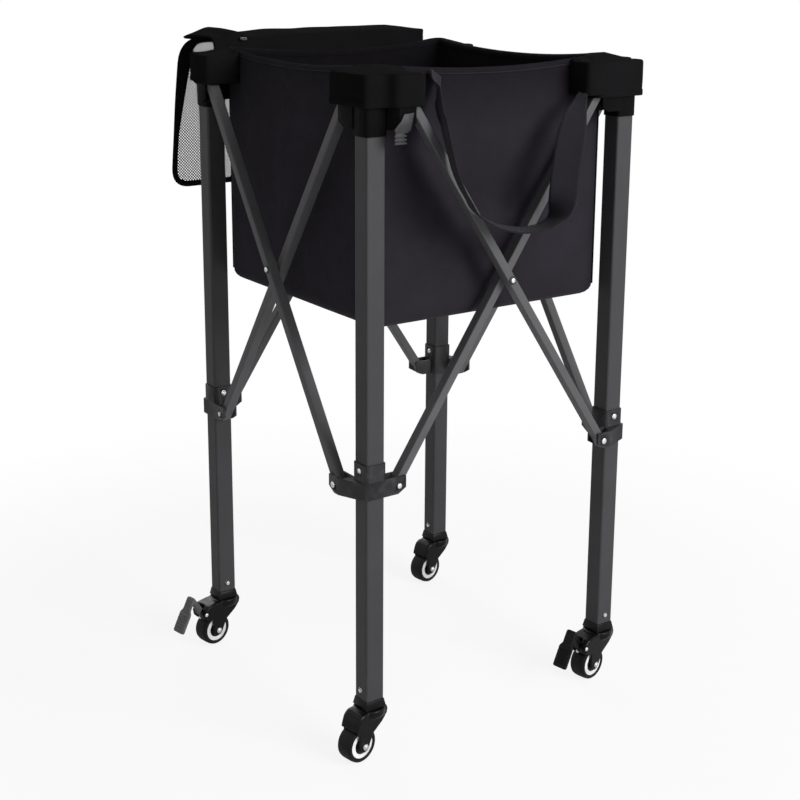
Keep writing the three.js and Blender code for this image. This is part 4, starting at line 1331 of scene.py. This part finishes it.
def hood_shell(outline, quarter, bottom):
    """A cap of cloth over an outline: its hem, its walls and a softly rounded top."""
    loop = even_loop(rounded_loop([Vector(p) for p in outline], 9), 3)
    top = hood_high.z
    # Heights, and how far each stands out of the outline: the hem, the wall and the rounded top
    levels = [(bottom, -0.6), (bottom + 0.6, 0.2), (bottom + 4, 0.5), (bottom + 8, 0.3),
              (bottom + 9, -0.5), (bottom + 14, -0.3), (bottom + 22, -0.2), (bottom + 30, -0.4),
              (top - 4, -0.6), (top - 2, -1.1), (top - 0.7, -2.2), (top - 0.15, -3.8), (top, -6)]
    shape = bmesh.new()
    rings = []
    for z, grow in levels:
        ring = []
        for base, point in zip(loop, grown_loop(loop, grow)):
            where = Vector((point.x * 0.05, point.y * 0.05, z * 0.03 + quarter * 5))
            swell = noise.noise(where) * 0.9
            outward = point.normalized() if point.length > 1 else Vector((0, 0))
            moved = point + outward * min(0.4, swell)
            height = z + lift_to_rim(base, z) + min(0, noise.noise(where * 1.7)) * 0.8
            ring.append(shape.verts.new((moved.x, moved.y, height)))
        rings.append(ring)
    join_rings(shape, rings)
    cap = shape.faces.new(rings[-1])
    bmesh.ops.triangulate(shape, faces=[cap], quad_method="BEAUTY", ngon_method="BEAUTY")
    flat = shape.loops.layers.uv.verify()
    for face in shape.faces:
        for corner in face.loops:
            co = corner.vert.co
            corner[flat].uv = ((co.x + co.z) * MM, (co.y + co.z) * MM)
    return shape


def lift_to_rim(base, z):
    """How far a hood's top edge rises to cover the bag's rim, where it is sewn to it."""
    top = hood_high.z
    rim = rim_height((max(base.x, base.y) - HOOD_INNER) / (2 * bag_half)) + 1.5
    sewn = smooth_share(min(base.x, base.y), 3, HOOD_INNER - 1)
    return max(0, rim - top) * sewn * smooth_share(z, top - 14, top - 4)


# A hood's faces from the leg's axis: outer, outer over the ears, arm's end, and inside the bag
HOOD_SLIM, HOOD_FAT, HOOD_ARM, HOOD_INNER = 24, 38, 60, 17.8
HOOD_CLOTH = 1.2
RIGHT_HOOD_DROP = 8


def make_hood(quarter, name):
    slim, fat, arm, inner = HOOD_SLIM, HOOD_FAT, HOOD_ARM, HOOD_INNER
    outline = [(-slim, -slim), (8, -slim), (15, -fat), (arm, -fat), (arm, inner),
               (inner, inner), (inner, arm), (-slim, arm)]
    bottom = hood_low.z - (RIGHT_HOOD_DROP if name == "right" else 0)
    hood = make_piece(f"hood_{name}", hood_shell(outline, quarter, bottom), at_leg(quarter),
                      "hood_cloth", 50)
    thicken(hood, HOOD_CLOTH)
    stands_for(hood, f"corner_hood_{name}", "hood_fabric")


def make_hood_flap():
    """The right hood's longer arm along the front right side, carried by the right leg."""
    overlap, end, proud = 46, 80, 0.7
    outline = [(-HOOD_SLIM - proud, overlap), (HOOD_INNER, overlap), (HOOD_INNER, end),
               (-HOOD_SLIM - proud, end)]
    shape = hood_shell(outline, 1, hood_low.z - RIGHT_HOOD_DROP / 2)
    hidden = [face for face in shape.faces if max(v.co.y for v in face.verts) < overlap + 2
              and min(v.co.z for v in face.verts) < hood_high.z - 1]
    bmesh.ops.delete(shape, geom=hidden, context="FACES")
    flap = make_piece("hood_flap_right", shape, at_leg(1), "hood_cloth", 50)
    thicken(flap, HOOD_CLOTH)
    goes_with(flap, "right_leg_body")
    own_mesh(flap)


# Lid

class BallCartLid(bpy.types.Operator):
    """Add the lid: its band, its zip's puller, its bound edge and its net"""
    bl_idname = "ball_cart.add_lid"
    bl_label = "Lid"

    def execute(self, context):
        make_lid_band()
        make_zip_pull()
        make_lid_flap()
        return {"FINISHED"}


# The lid's flap lies thrown back: its seam out from the rim and above it, and its fall from there
LID_WIDTH = 430
LID_LENGTH = 229
LID_SEAM_OUT = 103
LID_SEAM_RISE = 8
LID_FALL = math.radians(-85.4)
LID_BINDING = 9
LID_CORNER = 26
LID_TOP_CORNER = 34
LID_TOP_IN = 12


def make_lid_band():
    """The fabric band rises from the rim, lies over the leg tops and ends at the net's seam."""
    back, crest = bag_half, bag_rim + 17
    seam = leg_half + LID_SEAM_OUT
    side = [(back, bag_rim - 5), (back + 3, bag_rim + 4), (back + 12, bag_rim + 12.5),
            (back + 26, crest - 2), (back + 60, crest - 0.6), (leg_half + 78, crest),
            (seam - 12, crest - 2), (seam - 3, bag_rim + LID_SEAM_RISE + 4),
            (seam - 1, bag_rim + LID_SEAM_RISE)]
    half = LID_WIDTH / 2
    reach = sum(math.dist(a, b) for a, b in zip(side, side[1:]))

    end_half = half - LID_TOP_IN - LID_TOP_CORNER - 16
    left_root, left_middle, right_root, right_middle = 208, 204, 158, 178
    end_drop, end_reach, thickness = 9, 34, 2.4

    def half_at(t, root, middle):
        return (root + (middle - root) * smooth_share(t, 0.05, 0.5)
                + (end_half - middle) * smooth_share(t, 0.7, 1))

    def bulge(x, from_end, size, spread):
        return size * math.exp(-((x + half - from_end) / spread) ** 2)

    def point(s, t):
        place = t * (len(side) - 1)
        i = min(int(place), len(side) - 2)
        at = Vector(side[i]).lerp(Vector(side[i + 1]), place - i)
        x = (2 * s - 1) * (half_at(t, left_root, left_middle) if s < 0.5
                           else half_at(t, right_root, right_middle))
        free = math.sin(math.pi * t) ** 0.8
        root = max(0.0, 1 - t / 0.3)
        along = min(1.0, max(0.0, (x + bag_half) / (2 * bag_half)))
        sag = (rim_height(along) - bag_rim) * root
        hump = bulge(x, 50, 5.5, 16) * free
        dip = bulge(x, 97, -3.0, 34) * free
        end = (s if s < 0.5 else 1 - s) * LID_WIDTH
        drop = end_drop * max(0.0, 1 - end / end_reach) ** 1.5 * smooth_share(t, 0.2, 0.9)
        wave = noise.noise(Vector((x * 0.02, t * 2, 3))) * 1.5 * free
        return Vector((x, at.x, at.y + sag + hump + dip - drop + wave))

    shape = bmesh.new()
    grid(shape, 110, 40, point, lambda s, t: (s * LID_WIDTH * MM, t * reach * MM))
    band = make_piece("lid_crest", shape, at_quarter(0), "hood_cloth", 60, False)
    thicken(band, thickness, 0)
    stands_for(band, "lid_band", "hood_fabric")
    flatten_with_fold(band, "lid_band")


def make_zip_pull():
    """The slider and the puller of the lid's zip, at rest on the band beside the left leg."""
    x, y, z = 45, 394, 931
    shape = bmesh.new()
    prism(shape, rounded_rectangle(4.5, 3.5, 1.5), "z", 0, 3, 0.6)
    prism(shape, rounded_rectangle(2.5, 6, 2.2), "z", 2.2, 3.6, 0.3)
    bmesh.ops.transform(shape, matrix=Matrix.Translation((x, y, z)), verts=shape.verts)
    pull = make_piece("zip_pull", shape, at_leg(0), "pedal_grey")
    goes_with(pull, body_holding("lid_band"))
    flatten_with_fold(pull, "lid_band")


def lid_place():
    """The lid's own drawing: x across, y down the flap from the seam, z out of its face."""
    seam = Vector((0, leg_half + LID_SEAM_OUT, bag_rim + LID_SEAM_RISE))
    return at_quarter(0) @ Matrix.Translation(seam) @ Matrix.Rotation(LID_FALL, 4, "X")


def lid_bow(x, y):
    """How far the flap stands out of its plane."""
    bow, waves = 2.5, 2
    return (bow * math.sin(math.pi * y / LID_LENGTH)
            + waves * noise.noise(Vector((x, y, 0)) * 0.012))


def lid_half(y):
    """Half the flap's width to the middle of its binding: less at the seam than at its end."""
    return LID_WIDTH / 2 - LID_BINDING / 2 - LID_TOP_IN * (1 - y / LID_LENGTH)


def make_lid_flap():
    """The flap below the seam: its bound edge, broader beside the band, and its net."""
    inset, sides, thickness = LID_BINDING / 2, 12, 3.2
    broader, fades_by = 18, 150
    corners = [Vector((side * lid_half(y), y)) for y, side in
               ((inset, -1), (inset, 1), (LID_LENGTH - inset, 1), (LID_LENGTH - inset, -1))]
    loop = []
    for index, corner in enumerate(corners):
        reach = LID_TOP_CORNER if index < 2 else LID_CORNER
        loop += corner_curve(corners[index - 1], corner, corners[(index + 1) % 4], reach, reach, 8)
    path = [Vector((p.x, p.y, lid_bow(p.x, p.y))) for p in even_loop(loop, 4)]
    shape = bmesh.new()
    rings = []
    for i, point in enumerate(path):
        run = (path[(i + 1) % len(path)] - path[i - 1]).normalized()
        out = Vector((run.y, -run.x, 0)).normalized()
        extra = broader * max(0.0, 1 - point.y / fades_by) * abs(out.x)
        ring = []
        for k in range(sides):
            turn = 2 * math.pi * k / sides
            reach = (LID_BINDING + extra) / 2 * math.cos(turn) - extra / 2
            rise = Vector((0, 0, thickness / 2 * math.sin(turn)))
            ring.append(shape.verts.new(point + out * reach + rise))
        rings.append(ring)
    join_rings(shape, rings, loop_closed=True)
    border = make_piece("lid_binding", shape, lid_place(), "binding_cloth", 60)
    stands_for(border, "lid_border", "lid_mesh")

    net = make_piece("lid_netting", net_cords(), lid_place(), "net_cord", 60)
    stands_for(net, "lid_net", "lid_mesh")
    for piece in (border, net):
        flatten_with_fold(piece, "lid_border")


def net_cords():
    """Two crossing sets of slanted cords, each cut off under the binding."""
    pitch, cord = chosen("net_pitch"), chosen("net_cord")
    top, bottom = LID_BINDING / 2, LID_LENGTH - LID_BINDING / 2
    half = LID_WIDTH / 2 - LID_BINDING / 2
    slant = math.radians(45)
    length = bottom - top
    span = length / math.tan(slant)
    step_across = pitch / math.sin(slant)
    steps, kept_each = 64, 4

    def inside(x, y):
        if abs(x) > lid_half(y) or y < top or y > bottom:
            return False
        from_end, corner = y - top, LID_TOP_CORNER
        if y > LID_LENGTH / 2:
            from_end, corner = bottom - y, LID_CORNER
        across, along = abs(x) - (lid_half(y) - corner), corner - from_end
        return across < 0 or along < 0 or math.hypot(across, along) < corner

    shape = bmesh.new()
    for lean, level in ((1, 0.3), (-1, -0.3)):
        for i in range(int((2 * half + span) / step_across) + 1):
            start = -half - span + i * step_across if lean > 0 else -half + i * step_across
            points = [(start + lean * span * (k / steps), top + length * (k / steps))
                      for k in range(steps + 1)]
            kept = [p for p in points if inside(*p)]
            if len(kept) < 2:
                continue
            kept = kept[:-1:kept_each] + kept[-1:]
            path = [Vector((x, y, lid_bow(x, y) + level)) for x, y in kept]
            tube_along(shape, path, cord / 2, 4, 0.7)
    return shape


# Carrying strap

class BallCartStrap(bpy.types.Operator):
    """Add the webbing strap that hangs in a bow on the front right side"""
    bl_idname = "ball_cart.add_strap"
    bl_label = "Carrying strap"

    def execute(self, context):
        make_strap()
        return {"FINISHED"}


STRAP_WIDTH = 38
# The webbing's middle line, from the front leg's axis on the floor: along the side, out of it
# and up. It leaves one seam, goes down in a bow and ends in the right hood.
STRAP_STOPS = (
    (106, 10, 908), (101, 3, 900), (97, -6, 889), (92, -15, 878), (88, -25, 864), (86, -35, 850),
    (84, -43, 838), (85, -50, 816), (91, -53, 791), (101, -54, 770), (111, -54, 755),
    (123, -53, 739), (143, -52, 725), (165, -52, 715), (188, -52, 709), (216, -52, 706),
    (242, -52, 709), (258, -53, 717), (264, -55, 730), (267, -55, 744), (272, -52, 773),
    (281, -48, 804), (302, -34, 845), (322, -20, 865), (336, -10, 878), (342, -3, 900))


def smooth_route(points, steps):
    """A centripetal curve through the points, with each stretch in steps."""
    made = []
    padded = [points[0] * 2 - points[1]] + points + [points[-1] * 2 - points[-2]]
    for i in range(1, len(padded) - 2):
        a, b, c, d = padded[i - 1:i + 3]
        first = max(1e-4, (b - a).length ** 0.5)
        second = max(1e-4, (c - b).length ** 0.5)
        third = max(1e-4, (d - c).length ** 0.5)
        leave = ((b - a) / first - (c - a) / (first + second) + (c - b) / second) * second
        arrive = ((c - b) / second - (d - b) / (second + third) + (d - c) / third) * second
        for step in range(steps):
            t = step / steps
            made.append(b * (2 * t ** 3 - 3 * t ** 2 + 1) + c * (3 * t ** 2 - 2 * t ** 3)
                        + leave * (t ** 3 - 2 * t ** 2 + t) + arrive * (t ** 3 - t ** 2))
    made.append(points[-1])
    return made


def strap_across(share, run):
    """The way the width points: edge-on down the left side, turned to the front on the right."""
    at_seam, below_seam, to_front, into_hood = 25, 40, 81, -51
    turn = math.radians(at_seam + below_seam * smooth_share(share, 0, 0.07)
                        + to_front * smooth_share(share, 0.58, 0.7)
                        + into_hood * smooth_share(share, 0.86, 0.97))
    across = Vector((math.cos(turn), math.sin(turn), 0))
    return (across - run * across.dot(run)).normalized()


def make_strap():
    rows, columns = 180, 10
    fold_at_seam, fold_in_hood, cupped, thickness = 0.5, 0.7, 1.2, 2.0
    stops = [Vector((x - leg_half, y - leg_half, z)) for x, y, z in STRAP_STOPS]
    path, length = evenly(smooth_route(stops, 24), rows)

    def point(s, t):
        i = round(t * rows)
        run = (path[min(rows, i + 1)] - path[max(0, i - 1)]).normalized()
        across = strap_across(t, run)
        face = run.cross(across)
        side = 2 * s - 1
        folded = (fold_at_seam * (1 - smooth_share(t, 0, 0.1))
                  + fold_in_hood * smooth_share(t, 0.8, 0.98))
        curl = cupped * side ** 2 * math.sin(math.pi * t)
        return path[i] + across * side * (1 - folded) * STRAP_WIDTH / 2 + face * curl

    shape = bmesh.new()
    grid(shape, columns, rows, point, lambda s, t: (s * STRAP_WIDTH * MM, t * length * MM))
    strap = make_piece("strap", shape, at_quarter(0), "webbing", 60, False)
    thicken(strap, thickness, 0)
    stands_for(strap, "carrying_strap", "webbing")
    flatten_with_fold(strap, "bag_wall_front_right")


# Sidebar

class BallCartPanel(bpy.types.Panel):
    """Lists the cart's pieces in the 3D view's sidebar"""
    bl_idname = "VIEW3D_PT_ball_cart"
    bl_label = "Ball Cart"
    bl_space_type = "VIEW_3D"
    bl_region_type = "UI"
    bl_category = "Ball Cart"

    def draw(self, context):
        for operator in OPERATORS:
            self.layout.operator(operator.bl_idname)
        for group in (context.scene.ball_cart_sizes, context.scene.ball_cart_colours):
            box = self.layout.box()
            for key in group.bl_rna.properties.keys():
                if key not in ("rna_type", "name"):
                    box.prop(group, key)


OPERATORS = (BallCartStage, BallCartLegs, BallCartMouldings, BallCartBars, BallCartCasters,
             BallCartBag, BallCartHoods, BallCartLid, BallCartStrap)
CLASSES = (BallCartSizes, BallCartColours, *OPERATORS, BallCartPanel)


def register():
    for item in CLASSES:
        bpy.utils.register_class(item)
    bpy.types.Scene.ball_cart_sizes = bpy.props.PointerProperty(type=BallCartSizes)
    bpy.types.Scene.ball_cart_colours = bpy.props.PointerProperty(type=BallCartColours)


def unregister():
    del bpy.types.Scene.ball_cart_colours
    del bpy.types.Scene.ball_cart_sizes
    for item in reversed(CLASSES):
        bpy.utils.unregister_class(item)


def main():
    register()
    bpy.context.scene.view_settings.view_transform = "Standard"
    bpy.ops.ball_cart.add_stage()
    bpy.ops.ball_cart.add_legs()
    bpy.ops.ball_cart.add_mouldings()
    bpy.ops.ball_cart.add_bars()
    bpy.ops.ball_cart.add_casters()
    bpy.ops.ball_cart.add_bag()
    bpy.ops.ball_cart.add_hoods()
    bpy.ops.ball_cart.add_lid()
    bpy.ops.ball_cart.add_strap()


if __name__ == "__main__":
    main()
